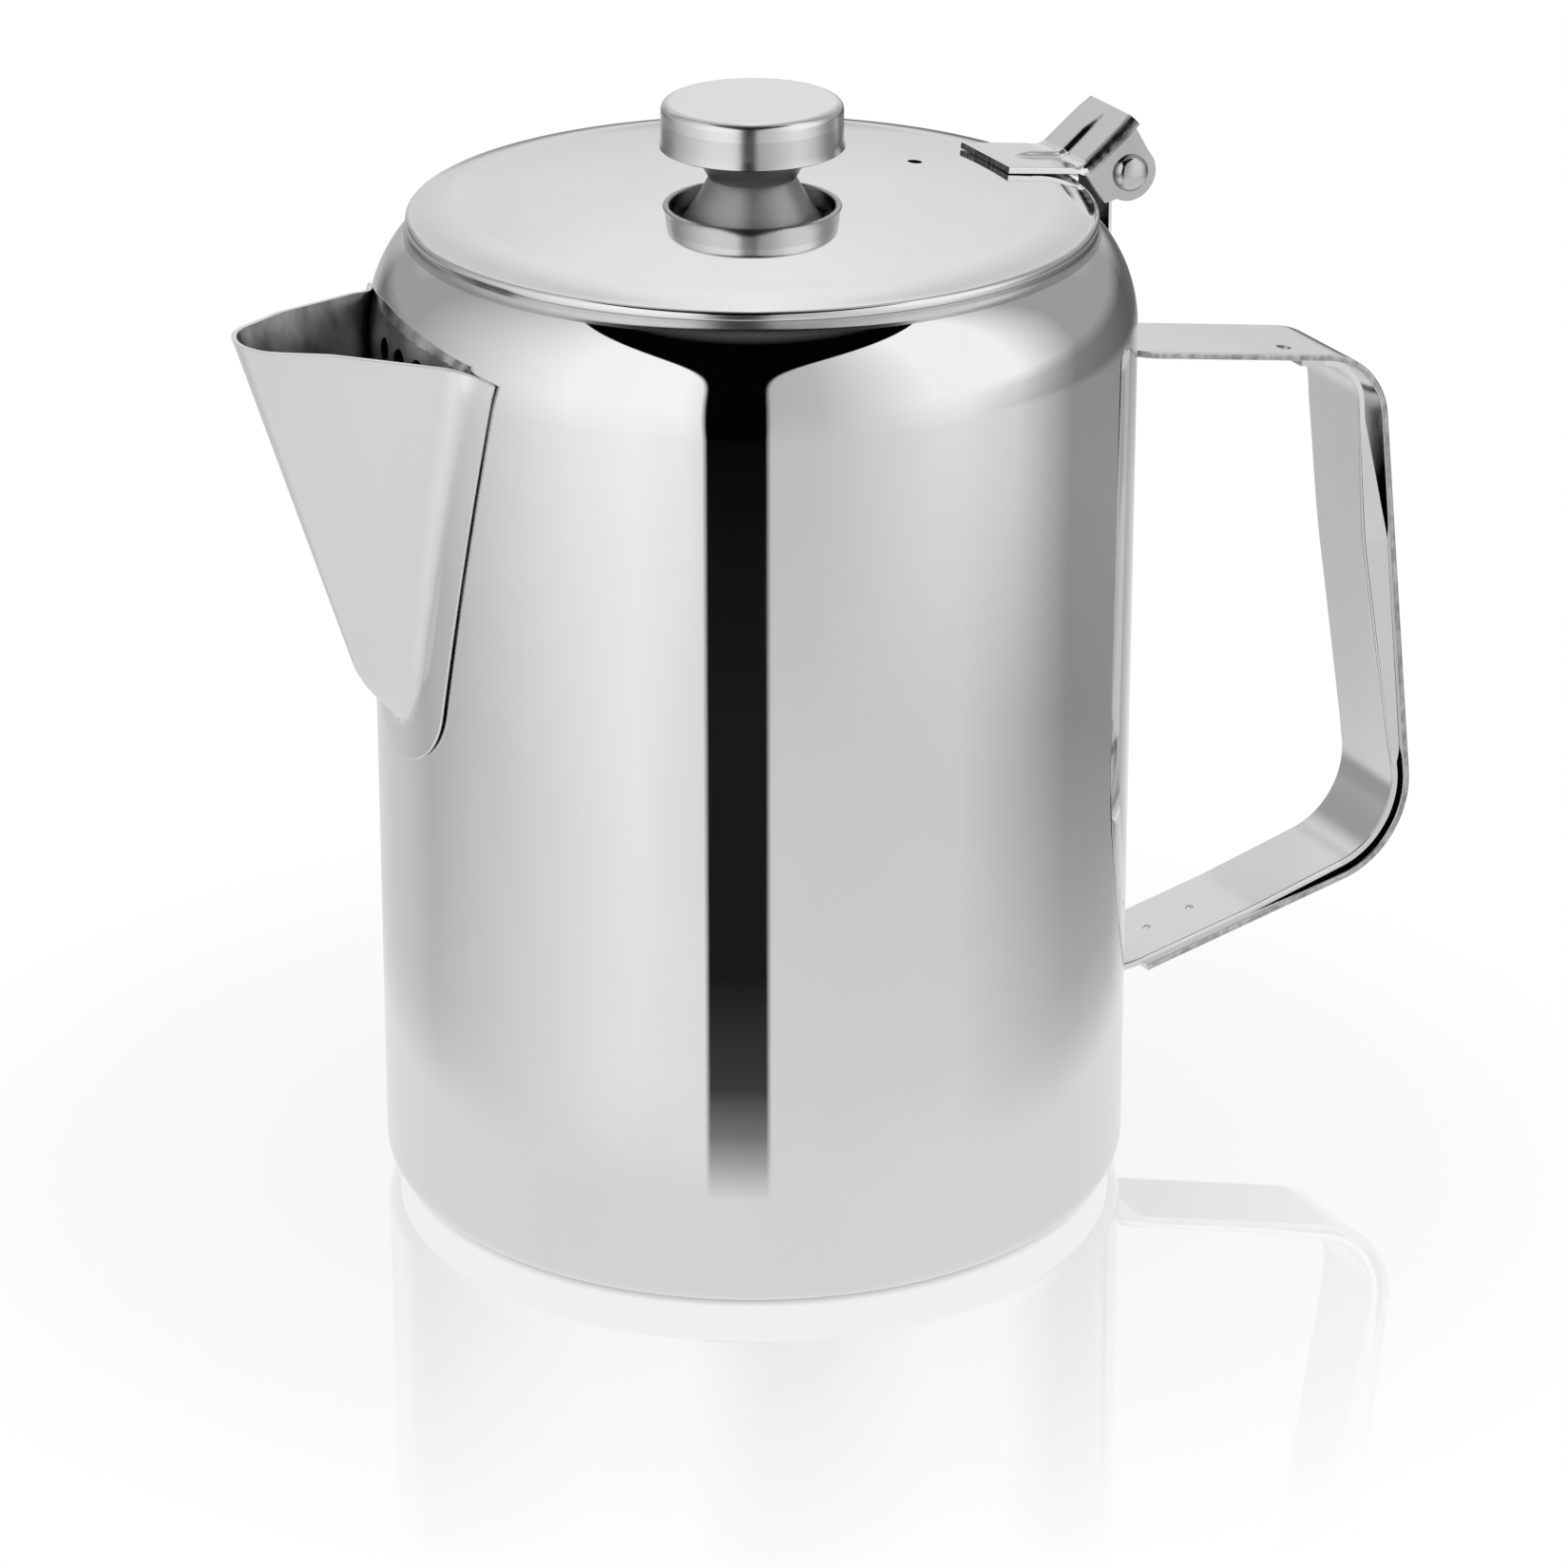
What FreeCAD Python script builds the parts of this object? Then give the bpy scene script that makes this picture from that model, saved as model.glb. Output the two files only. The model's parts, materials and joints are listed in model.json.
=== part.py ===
import FreeCAD, Part
import math
import os

Vector = FreeCAD.Vector

# Coffee pot. Millimetres, +Z up, origin at the centre of the base on the table.
# The spout points along -X, the handle and the lid hinge are on +X.

# ---- body -------------------------------------------------------------
body_radius = 62.5
body_wall = 0.8
base_corner_radius = 7.0
foot_ring_width = 8.0
base_recess = 1.2
shoulder_start = 149.0
shoulder_radius = 21.7
neck_radius = 55.6
neck_fillet = 1.5
neck_top = 166.0

# ---- lid --------------------------------------------------------------
lid_gap = 0.1
lid_sheet = 0.8
lid_radius = 56.0
lid_lip = 0.6
lid_edge_round = 1.0
lid_bead_inset = 0.5
lid_bead_rise = 0.7
lid_crown = 173.1
lid_seat_radius = 8.0
dome_sphere_radius = 303.0
dome_radius = 47.0
dome_band_sag = 0.25
skirt_radius = 53.8
skirt_depth = 6.0
vent_distance = 29.5
vent_diameter = 2.4

# ---- knob -------------------------------------------------------------
knob_radius = 15.0
knob_top = 185.6
knob_skirt_bottom = 178.0
knob_round = 2.2
knob_sheet = 1.0
stem_foot_radius = 7.1
stem_foot_height = 0.8
stem_waist = (9.8, 178.0)
stem_shoulder = (12.8, 182.9)
stem_wall = 1.4

# ---- spout ------------------------------------------------------------
spout_sheet = 0.8
spout_tip = 89.9
spout_tip_height = 157.5
spout_rim_knee = (79.0, 157.4)
spout_root_height = 154.6
spout_nose_radius = 8.0
spout_heel_nose_radius = 3.5
spout_lean = 0.327
spout_heel_height = 101.0
spout_foot_height = 89.0
spout_half_angle = math.radians(28.0)
spout_hidden_depth = 1.0
spout_corner_reach = 57.7
flange_top_half_width = 26.0
flange_end_radius = 13.3
flange_end_height = 84.0
strainer_hole_diameter = 4.0
strainer_pitch = 6.5
strainer_rows = 8
strainer_margin = 4.0

# ---- handle -----------------------------------------------------------
strap_sheet = 1.2
outer_strap_width = 19.0
inner_strap_width = 17.0
tab_width = 12.0
tab_length = 12.0
top_root = (body_radius, 137.2)
top_corner = (114.9, 129.1)
bottom_corner = (124.6, 37.2)
outer_end = (71.4, 23.6)
top_bend = 14.0
bottom_bend = 17.0
tab_bend = 3.0
waist_length = 6.0
waist_start = 3.0
waist_bulge = (0.37, 0.72)
grip_corner = (110.0, 127.35)
grip_knee = (112.6, 96.0)
grip_heel = (121.9, 40.4)
liner_start = 99.0
liner_split = 92.0
liner_bends = [8.0, 150.0, 14.0, 60.0]
flange_top = 123.0
flange_meets_outer = 95.0
flange_bottom = 48.5
strap_hole = (97.5, -5.0)
strap_hole_diameter = 2.6
weld_gap = 0.05
bend_gap = 0.4

# ---- hinge ------------------------------------------------------------
hinge_sheet = 1.0
pivot = (65.1, 167.4)
leaf_half_width = 8.4
leaf_front = (42.5, 171.2)
leaf_fold = (56.5, 169.3)
lever_end = (65.8, 176.7)
lever_half_width = 8.0
leaf_bend = 2.5
ear_radius = 4.8
ear_inset = 0.6
pin_radius = 1.6
pin_clearance = 0.05
rivet_head_radius = 3.1
rivet_head_height = 1.8
rivet_head_gap = 0.1
bracket_sheet = 0.6
knuckle_radius = pin_radius + bracket_sheet
bracket_half_width = 5.3
bracket_foot = 151.5
bracket_weld_top = 157.4
rib_radius = 1.6
rib_reach = 6.0
tool_reach = 20.0


# ======================= small drawing tools ===========================
def point(x, z, y=0.0):
    return Vector(x, y, z)


def direction(start, end):
    length = math.hypot(end[0] - start[0], end[1] - start[1])
    return ((end[0] - start[0]) / length, (end[1] - start[1]) / length)


def along(start, heading, distance):
    return (start[0] + heading[0] * distance, start[1] + heading[1] * distance)


def arc_edge(start, middle, end):
    return Part.Arc(point(*start), point(*middle), point(*end)).toShape()


def line_edge(start, end):
    return Part.makeLine(point(*start), point(*end))


def rounded_path(corners, radii):
    """Edges of a path through the corners; radii holds one radius per inner corner."""
    edges = []
    here = corners[0]
    for index, radius in enumerate(radii):
        corner = corners[index + 1]
        back = direction(corner, corners[index])
        ahead = direction(corner, corners[index + 2])
        half = math.acos(back[0] * ahead[0] + back[1] * ahead[1]) / 2
        if radius > 0 and math.pi / 2 - half > 0.001:
            reach = radius / math.tan(half)
            middle_heading = direction((0, 0), (back[0] + ahead[0], back[1] + ahead[1]))
            arc_start = along(corner, back, reach)
            arc_end = along(corner, ahead, reach)
            arc_middle = along(corner, middle_heading, radius / math.sin(half) - radius)
            edges.append(line_edge(here, arc_start))
            edges.append(arc_edge(arc_start, arc_middle, arc_end))
            here = arc_end
        else:
            edges.append(line_edge(here, corner))
            here = corner
    edges.append(line_edge(here, corners[-1]))
    return edges


def shifted_corners(corners, distance):
    """The same path moved sideways, to the right of its direction of travel."""
    headings = [direction(a, b) for a, b in zip(corners, corners[1:])]
    rights = [(heading[1], -heading[0]) for heading in headings]
    moved = [along(corners[0], rights[0], distance)]
    for index in range(1, len(corners) - 1):
        before, after = rights[index - 1], rights[index]
        scale = distance / (1 + before[0] * after[0] + before[1] * after[1])
        moved.append((corners[index][0] + (before[0] + after[0]) * scale,
                      corners[index][1] + (before[1] + after[1]) * scale))
    moved.append(along(corners[-1], rights[-1], distance))
    return moved


def bent_sheet(corners, radii, thickness, half_width):
    """A strip bent in the XZ plane; it lies to the right of the path, bends concave right."""
    near = rounded_path(corners, radii)
    inner_radii = [radius - thickness for radius in radii]
    far = rounded_path(shifted_corners(corners, thickness), inner_radii)
    first = Part.makeLine(near[0].firstVertex().Point, far[0].firstVertex().Point)
    last = Part.makeLine(near[-1].lastVertex().Point, far[-1].lastVertex().Point)
    return slab(near + [last] + far + [first], half_width)


def slab(edges, half_width):
    face = Part.Face(Part.Wire(Part.__sortEdges__(edges)))
    face.translate(Vector(0, -half_width, 0))
    return face.extrude(Vector(0, 2 * half_width, 0))


def spun(edges):
    face = Part.Face(Part.Wire(Part.__sortEdges__(edges)))
    return face.revolve(Vector(0, 0, 0), Vector(0, 0, 1), 360)


def outline(points):
    return [line_edge(a, b) for a, b in zip(points, points[1:] + points[:1]) if a != b]


def box(x_low, x_high, half_width, z_low, z_high):
    corner = Vector(x_low, -half_width, z_low)
    return Part.makeBox(x_high - x_low, 2 * half_width, z_high - z_low, corner)


def cross_pin(radius, half_length, centre):
    start = Vector(centre[0], -half_length, centre[1])
    return Part.makeCylinder(radius, 2 * half_length, start, Vector(0, 1, 0))


def save(name, shape):
    shape.exportStep(os.path.join("parts", name + ".step"))


# ============================== body ===================================
def body_side(inset):
    """Edges of the pot's side from the foot ring to the neck top, moved inward by inset."""
    wall = body_radius - inset
    corner_centre = (body_radius - base_corner_radius, base_corner_radius)
    corner = base_corner_radius - inset
    diagonal = corner * math.sqrt(0.5)
    shoulder_centre = (body_radius - shoulder_radius, shoulder_start)
    shoulder = shoulder_radius - inset
    fillet_x = neck_radius + neck_fillet
    rise = math.sqrt((shoulder_radius + neck_fillet) ** 2 - (fillet_x - shoulder_centre[0]) ** 2)
    fillet_centre = (fillet_x, shoulder_start + rise)
    fillet = neck_fillet + inset
    joint_heading = direction(shoulder_centre, fillet_centre)
    joint = along(shoulder_centre, joint_heading, shoulder)
    shoulder_half = math.atan2(joint_heading[1], joint_heading[0]) / 2
    half_heading = (math.cos(shoulder_half), math.sin(shoulder_half))
    shoulder_middle = along(shoulder_centre, half_heading, shoulder)
    fillet_end = (neck_radius - inset, fillet_centre[1])
    fillet_heading = direction((0, 0), (-1 - joint_heading[0], -joint_heading[1]))
    fillet_middle = along(fillet_centre, fillet_heading, fillet)
    corner_middle = along(corner_centre, (1, -1), diagonal)
    return [
        arc_edge((corner_centre[0], inset), corner_middle, (wall, corner_centre[1])),
        line_edge((wall, corner_centre[1]), (wall, shoulder_start)),
        arc_edge((wall, shoulder_start), shoulder_middle, joint),
        arc_edge(joint, fillet_middle, fillet_end),
        line_edge(fillet_end, (neck_radius - inset, neck_top)),
    ]


def body_solid(inset):
    """The full pot volume without its hollow, moved inward by inset."""
    foot = body_radius - base_corner_radius
    top = neck_radius - inset
    closing = [
        line_edge((0, inset), (foot, inset)),
        line_edge((top, neck_top), (0, neck_top)),
        line_edge((0, neck_top), (0, inset)),
    ]
    return spun(body_side(inset) + closing)


def base_recess_solid(rise):
    """The dished middle of the base, standing inside the foot ring."""
    ring_inner = body_radius - base_corner_radius - foot_ring_width
    points = [(0, rise - 1), (ring_inner, rise - 1), (ring_inner, rise)]
    points += [(ring_inner - base_recess, rise + base_recess), (0, rise + base_recess)]
    return spun(outline(points))


def strainer_holes():
    """Staggered rows of round holes through the body wall behind the spout."""
    holes = []
    row_step = strainer_pitch * math.sqrt(0.75)
    for row in range(strainer_rows):
        height = spout_root_height - strainer_margin - row * row_step
        count = 2 if row % 2 else 3
        for column in range(count):
            across = (column - (count - 1) / 2) * strainer_pitch
            start = Vector(-body_radius - spout_hidden_depth, across, height)
            radius = strainer_hole_diameter / 2
            holes.append(Part.makeCylinder(radius, tool_reach, start, Vector(1, 0, 0)))
    return holes


def make_body():
    shell = body_solid(0).cut(body_solid(body_wall))
    shell = shell.fuse(base_recess_solid(body_wall))
    shell = shell.cut(base_recess_solid(0)).cut(strainer_holes())
    return shell.removeSplitter()


# ============================== spout ==================================
def nose_reach(height):
    """How far in front of the pot axis the spout's front edge is at a height."""
    straight = spout_tip - spout_lean * (spout_tip_height - height)
    foot_straight = spout_tip - spout_lean * (spout_tip_height - spout_foot_height)
    tuck = foot_straight - (body_radius - spout_hidden_depth)
    below = max(0.0, spout_heel_height - height) / (spout_heel_height - spout_foot_height)
    return straight - tuck * below ** 2


def nose_radius(height):
    share = (height - spout_heel_height) / (spout_tip_height - spout_heel_height)
    grown = spout_heel_nose_radius + (spout_nose_radius - spout_heel_nose_radius) * share
    return max(spout_heel_nose_radius * 0.7, grown)


def spout_section(height, inset):
    """Closed section: rounded nose, two flat sides, and a back line inside the pot."""
    radius = nose_radius(height)
    centre = -(nose_reach(height) - radius)
    radius -= inset
    back = -(body_radius - flange_end_radius)
    sine, cosine = math.sin(spout_half_angle), math.cos(spout_half_angle)
    tangent_x = centre - radius * sine
    tangent_y = radius * cosine
    back_y = tangent_y + (back - tangent_x) * math.tan(spout_half_angle)
    corners = [Vector(tangent_x, side * tangent_y, height) for side in (-1, 1)]
    backs = [Vector(back, side * back_y, height) for side in (-1, 1)]
    nose = Part.Arc(corners[0], Vector(centre - radius, 0, height), corners[1]).toShape()
    edges = [nose, Part.makeLine(corners[1], backs[1]), Part.makeLine(backs[1], backs[0])]
    return Part.Wire(edges + [Part.makeLine(backs[0], corners[0])])


def spout_volume(inset):
    heel_steps = 8
    heel_rise = (spout_heel_height - spout_foot_height) / heel_steps
    heights = [spout_foot_height + heel_rise * step for step in range(heel_steps + 1)]
    heights.append(spout_tip_height + strainer_pitch)
    return Part.makeLoft([spout_section(height, inset) for height in heights], True, True)


def rim_cutter():
    """Everything above the pouring rim, which is level at the tip and falls towards the pot."""
    tip = (-spout_tip, spout_tip_height)
    knee = (-spout_rim_knee[0], spout_rim_knee[1])
    root = (-spout_corner_reach, spout_root_height)
    far = along(tip, direction(knee, tip), tool_reach)
    near = along(root, direction(knee, root), tool_reach)
    top = spout_tip_height + tool_reach
    return slab(outline([far, knee, near, (near[0], top), (far[0], top)]), body_radius)


def flange_outline():
    """Tongue-shaped prism, along X, that trims the flange hugging the body."""
    centre_height = flange_end_height + flange_end_radius
    top = spout_tip_height
    lean = math.atan2(flange_top_half_width - flange_end_radius, spout_root_height - centre_height)
    side_y = flange_end_radius * math.cos(lean)
    side_z = centre_height - flange_end_radius * math.sin(lean)
    top_y = side_y + (top - side_z) * math.tan(lean)
    reach = -(body_radius + spout_sheet + spout_hidden_depth)

    def spot(y, z):
        return Vector(reach, y, z)

    end = Part.Arc(spot(side_y, side_z), spot(0, flange_end_height), spot(-side_y, side_z)).toShape()
    edges = [end, Part.makeLine(spot(-side_y, side_z), spot(-top_y, top))]
    edges.append(Part.makeLine(spot(-top_y, top), spot(top_y, top)))
    edges.append(Part.makeLine(spot(top_y, top), spot(side_y, side_z)))
    return Part.Face(Part.Wire(edges)).extrude(Vector(body_radius / 2, 0, 0))


def make_spout():
    inside = spout_volume(spout_sheet)
    sides = spout_volume(0)
    flange = body_solid(-spout_sheet).common(flange_outline())
    shell = sides.fuse(flange).cut(inside).cut(body_solid(0)).cut(rim_cutter())
    pieces = sorted(shell.Solids, key=lambda solid: solid.Volume)
    return pieces[-1]


# ============================== handle =================================
def plan_trimmer(width):
    """Plan shape of a strap: full width, narrowing with round corners to the weld tab."""
    half, tab = width / 2, tab_width / 2
    narrow = body_radius + waist_start
    wide = narrow + waist_length
    far = bottom_corner[0] + tool_reach
    edges = []
    for side in (-1, 1):
        start = Vector(0, side * tab, 0)
        neck = Vector(narrow, side * tab, 0)
        bulge_y = tab + (half - tab) * waist_bulge[1]
        bend = Vector(narrow + waist_length * waist_bulge[0], side * bulge_y, 0)
        full = Vector(wide, side * half, 0)
        edges.append(Part.makeLine(start, neck))
        edges.append(Part.Arc(neck, bend, full).toShape())
        edges.append(Part.makeLine(full, Vector(far, side * half, 0)))
    edges.append(Part.makeLine(Vector(0, -tab, 0), Vector(0, tab, 0)))
    edges.append(Part.makeLine(Vector(far, -half, 0), Vector(far, half, 0)))
    face = Part.Face(Part.Wire(Part.__sortEdges__(edges)))
    return face.extrude(Vector(0, 0, neck_top))


def make_outer_strap():
    tab_end = (top_root[0], top_root[1] - tab_length)
    corners = [tab_end, top_root, top_corner, bottom_corner, outer_end]
    strap = bent_sheet(corners, [tab_bend, top_bend, bottom_bend], strap_sheet, outer_strap_width / 2)
    below_strap = Vector(strap_hole[0], strap_hole[1], top_root[1] - tool_reach)
    drill = Part.makeCylinder(strap_hole_diameter / 2, tool_reach, below_strap)
    return strap.common(plan_trimmer(outer_strap_width)).cut(drill).cut(body_solid(0))


def lower_run_height(reach, lift):
    """Height of a line parallel to the outer strap's lower run, lifted square to it."""
    slope = (bottom_corner[1] - outer_end[1]) / (bottom_corner[0] - outer_end[0])
    return outer_end[1] + slope * (reach - outer_end[0]) + lift * math.hypot(1, slope)


def outer_inner_face(height):
    """Reach of the outer strap's inner face on the grip."""
    share = (top_corner[1] - height) / (top_corner[1] - bottom_corner[1])
    lean = (bottom_corner[0] - top_corner[0]) / (top_corner[1] - bottom_corner[1])
    return top_corner[0] + share * (bottom_corner[0] - top_corner[0]) - strap_sheet * math.hypot(1, lean)


def top_run_underside(reach):
    slope = (top_corner[1] - top_root[1]) / (top_corner[0] - top_root[0])
    return top_root[1] + slope * (reach - top_root[0]) - strap_sheet * math.hypot(1, slope)


def liner_corners():
    """Path of the liner's outward face, from under the top run to the lower weld tab."""
    stacked = 2 * strap_sheet
    split = (liner_split, lower_run_height(liner_split, stacked))
    root = (body_radius, lower_run_height(body_radius, stacked))
    tab_end = (body_radius, root[1] - tab_length)
    start = (liner_start, top_run_underside(liner_start) - strap_sheet - weld_gap)
    return [start, grip_corner, grip_knee, grip_heel, split, root, tab_end]


def make_inner_strap():
    inward = liner_corners()
    near = rounded_path(inward, liner_bends + [tab_bend + strap_sheet])
    outward = shifted_corners(inward, -strap_sheet)
    far = rounded_path(outward, [radius + strap_sheet for radius in liner_bends] + [tab_bend])
    ends = [Part.makeLine(near[0].firstVertex().Point, far[0].firstVertex().Point)]
    ends.append(Part.makeLine(near[-1].lastVertex().Point, far[-1].lastVertex().Point))
    strip = slab(near + ends + far, inner_strap_width / 2).fuse(grip_channel())
    return strip.common(plan_trimmer(inner_strap_width)).cut(body_solid(0)).removeSplitter()


def grip_channel():
    """The liner's two side flanges, which close the hollow grip against the outer strap."""
    def liner_reach(height):
        high, low = (grip_corner, grip_knee) if height > grip_knee[1] else (grip_knee, grip_heel)
        share = (high[1] - height) / (high[1] - low[1])
        return high[0] + share * (low[0] - high[0])

    top = (liner_reach(flange_top) + strap_sheet, flange_top)
    meet = (outer_inner_face(flange_meets_outer) - weld_gap, flange_meets_outer)
    bottom = (outer_inner_face(flange_bottom) - bend_gap, flange_bottom)
    low = (liner_reach(flange_bottom) + strap_sheet / 2, flange_bottom)
    knee = (grip_knee[0] + strap_sheet / 2, grip_knee[1])
    high = (liner_reach(flange_top) + strap_sheet / 2, flange_top)
    side_shape = outline([top, meet, bottom, low, knee, high])
    block = slab(side_shape, inner_strap_width / 2)
    return block.cut(slab(side_shape, inner_strap_width / 2 - strap_sheet))


# =============================== lid ===================================
def dome_height(reach):
    return lid_crown - dome_sphere_radius + math.sqrt(dome_sphere_radius ** 2 - reach ** 2)


def lid_surface(drop):
    """Edges of the lid's top from the knob seat to the edge, lowered by drop."""
    seat = (lid_seat_radius, dome_height(lid_seat_radius) - drop)
    middle_reach = (lid_seat_radius + dome_radius) / 2
    dome_end = (dome_radius, dome_height(dome_radius) - drop)
    band_end = (lid_radius - lid_edge_round, neck_top + lid_gap + lid_lip + lid_edge_round - drop)
    band_middle = ((dome_end[0] + band_end[0]) / 2, (dome_end[1] + band_end[1]) / 2 + dome_band_sag)
    return [
        line_edge((0, seat[1]), seat),
        arc_edge(seat, (middle_reach, dome_height(middle_reach) - drop), dome_end),
        arc_edge(dome_end, band_middle, band_end),
    ]


def lid_block():
    """The lid's outer form, solid down to the rim of the neck."""
    bottom = neck_top + lid_gap
    lip_top = bottom + lid_lip
    band_end = (lid_radius - lid_edge_round, lip_top + lid_edge_round)
    diagonal = lid_edge_round * math.sqrt(0.5)
    round_centre = (band_end[0], lip_top)
    edges = lid_surface(0)
    edges.append(arc_edge(band_end, along(round_centre, (1, 1), diagonal), (lid_radius, lip_top)))
    edges.append(line_edge((lid_radius, lip_top), (lid_radius, bottom)))
    edges.append(line_edge((lid_radius, bottom), (0, bottom)))
    edges.append(line_edge((0, bottom), (0, dome_height(lid_seat_radius))))
    return spun(edges)


def make_lid():
    bottom = neck_top + lid_gap
    lip_top = bottom + lid_lip
    skirt_bottom = neck_top - skirt_depth
    under_end = (lid_radius - lid_edge_round, lip_top + lid_edge_round - lid_sheet)
    under = lid_surface(lid_sheet)
    under.append(line_edge(under_end, (under_end[0], skirt_bottom)))
    under.append(line_edge((under_end[0], skirt_bottom), (0, skirt_bottom)))
    under.append(line_edge((0, skirt_bottom), (0, dome_height(lid_seat_radius) - lid_sheet)))
    skirt_inner = skirt_radius - lid_sheet
    bead_outer = lid_radius - lid_bead_inset
    bead = [(skirt_inner, bottom), (bead_outer, bottom), (bead_outer, lip_top)]
    bead.append((skirt_inner, lip_top + lid_bead_rise))
    skirt = [(skirt_radius, lip_top), (skirt_radius, skirt_bottom)]
    skirt += [(skirt_inner, skirt_bottom), (skirt_inner, lip_top)]
    shell = lid_block().cut(spun(under)).fuse([spun(outline(bead)), spun(outline(skirt))])
    vent = Part.makeCylinder(vent_diameter / 2, tool_reach, Vector(vent_distance, 0, bottom))
    return shell.cut(vent).removeSplitter()


# =============================== knob ==================================
def make_knob_cap():
    inner_radius = knob_radius - knob_sheet
    round_centre = (knob_radius - knob_round, knob_top - knob_round)
    diagonal = math.sqrt(0.5)
    inner_round = knob_round - knob_sheet
    edges = [
        line_edge((0, knob_top), (round_centre[0], knob_top)),
        arc_edge((round_centre[0], knob_top), along(round_centre, (diagonal, diagonal), knob_round),
                 (knob_radius, round_centre[1])),
        line_edge((knob_radius, round_centre[1]), (knob_radius, knob_skirt_bottom)),
        line_edge((knob_radius, knob_skirt_bottom), (inner_radius, knob_skirt_bottom)),
        line_edge((inner_radius, knob_skirt_bottom), (inner_radius, round_centre[1])),
        arc_edge((inner_radius, round_centre[1]), along(round_centre, (diagonal, diagonal), inner_round),
                 (round_centre[0], knob_top - knob_sheet)),
        line_edge((round_centre[0], knob_top - knob_sheet), (0, knob_top - knob_sheet)),
        line_edge((0, knob_top - knob_sheet), (0, knob_top)),
    ]
    return spun(edges)


def make_knob_stem():
    """A pressed cup standing on the lid and widening up to the underside of the cap."""
    foot = dome_height(lid_seat_radius)
    top = knob_top - knob_sheet
    outer = [(stem_foot_radius, foot), (stem_foot_radius, foot + stem_foot_height)]
    outer += [stem_waist, stem_shoulder, (stem_shoulder[0], top)]
    inner = [(radius - stem_wall, height) for radius, height in reversed(outer[1:])]
    inner[-1] = (inner[-1][0], foot + knob_sheet)
    return spun(outline([(0, foot)] + outer + inner + [(0, foot + knob_sheet)]))


# =============================== hinge =================================
def tangent_point(outside, radius, side):
    """Where a line from an outside point touches the circle about the pivot."""
    gap = math.hypot(outside[0] - pivot[0], outside[1] - pivot[1])
    bearing = math.atan2(outside[1] - pivot[1], outside[0] - pivot[0])
    angle = bearing + side * math.acos(radius / gap)
    return (pivot[0] + radius * math.cos(angle), pivot[1] + radius * math.sin(angle))


def hinge_ear(side):
    low = (leaf_fold[0] + ear_inset, leaf_fold[1] - ear_inset)
    high = along(lever_end, direction(lever_end, leaf_fold), ear_inset)
    points = [low, high, tangent_point(high, ear_radius, -1), pivot, tangent_point(low, ear_radius, 1)]
    plate = slab(outline(points), hinge_sheet / 2)
    plate = plate.fuse(cross_pin(ear_radius, hinge_sheet / 2, pivot))
    plate = plate.cut(cross_pin(pin_radius + pin_clearance, hinge_sheet, pivot))
    plate.translate(Vector(0, side * (leaf_half_width - hinge_sheet / 2), 0))
    return plate


def stiffening_rib():
    """A pressed round-backed rib that bridges the fold between leaf and lever."""
    start = along(leaf_fold, direction(leaf_fold, leaf_front), rib_reach)
    end = along(leaf_fold, direction(leaf_fold, lever_end), rib_reach)
    start, end = (start[0], start[1] - hinge_sheet), (end[0] + hinge_sheet, end[1] - hinge_sheet)
    span = Vector(end[0] - start[0], 0, end[1] - start[1])
    return Part.makeCylinder(rib_radius, span.Length, point(*start), span)


def lever_corner(side):
    """Upright wedge that tapers one side of the lever to its narrower end."""
    taper = leaf_half_width - lever_half_width
    start, beyond = lever_end[0] - taper, lever_end[0] + taper
    plan = [(start, leaf_half_width), (beyond, lever_half_width - taper)]
    plan += [(beyond, leaf_half_width + taper), (start, leaf_half_width + taper)]
    corners = [Vector(x, side * y, leaf_fold[1]) for x, y in plan]
    return Part.Face(Part.makePolygon(corners + corners[:1])).extrude(Vector(0, 0, tool_reach))


def make_leaf():
    corners = [leaf_front, leaf_fold, lever_end]
    upper = rounded_path(corners, [leaf_bend])
    lower = rounded_path(shifted_corners(corners, hinge_sheet), [leaf_bend + hinge_sheet])
    ends = [Part.makeLine(upper[0].firstVertex().Point, lower[0].firstVertex().Point)]
    ends.append(Part.makeLine(upper[-1].lastVertex().Point, lower[-1].lastVertex().Point))
    plate = slab(upper + ends + lower, leaf_half_width)
    plate = plate.cut([lever_corner(-1), lever_corner(1)])
    leaf = plate.fuse([hinge_ear(-1), hinge_ear(1), stiffening_rib()])
    return leaf.cut(lid_block()).removeSplitter()


def make_bracket():
    """A tongue that stands up from a welded foot on the shoulder and curls round the pin."""
    front = pivot[0] - knuckle_radius
    foot = body_solid(-bracket_sheet).cut(body_solid(0))
    foot = foot.common(box(0, body_radius + tool_reach, bracket_half_width, bracket_foot, bracket_weld_top))
    tongue = box(front, front + bracket_sheet, bracket_half_width, bracket_foot, pivot[1])
    bracket = foot.fuse([tongue, cross_pin(knuckle_radius, bracket_half_width, pivot)])
    return bracket.cut(cross_pin(pin_radius, tool_reach, pivot)).cut(body_solid(0)).removeSplitter()


def make_rivet():
    """Hinge pin with a domed head outside each ear."""
    seat = leaf_half_width + rivet_head_gap
    rivet = cross_pin(pin_radius, seat + rivet_head_height / 2, pivot)
    ball_radius = (rivet_head_radius ** 2 + rivet_head_height ** 2) / (2 * rivet_head_height)
    for side in (-1, 1):
        centre = Vector(pivot[0], side * (seat + rivet_head_height - ball_radius), pivot[1])
        ball = Part.makeSphere(ball_radius, centre)
        start = Vector(pivot[0], side * seat, pivot[1])
        keep = Part.makeCylinder(rivet_head_radius + 1, rivet_head_height + 1, start, Vector(0, side, 0))
        rivet = rivet.fuse(ball.common(keep))
    return rivet.removeSplitter()


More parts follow.
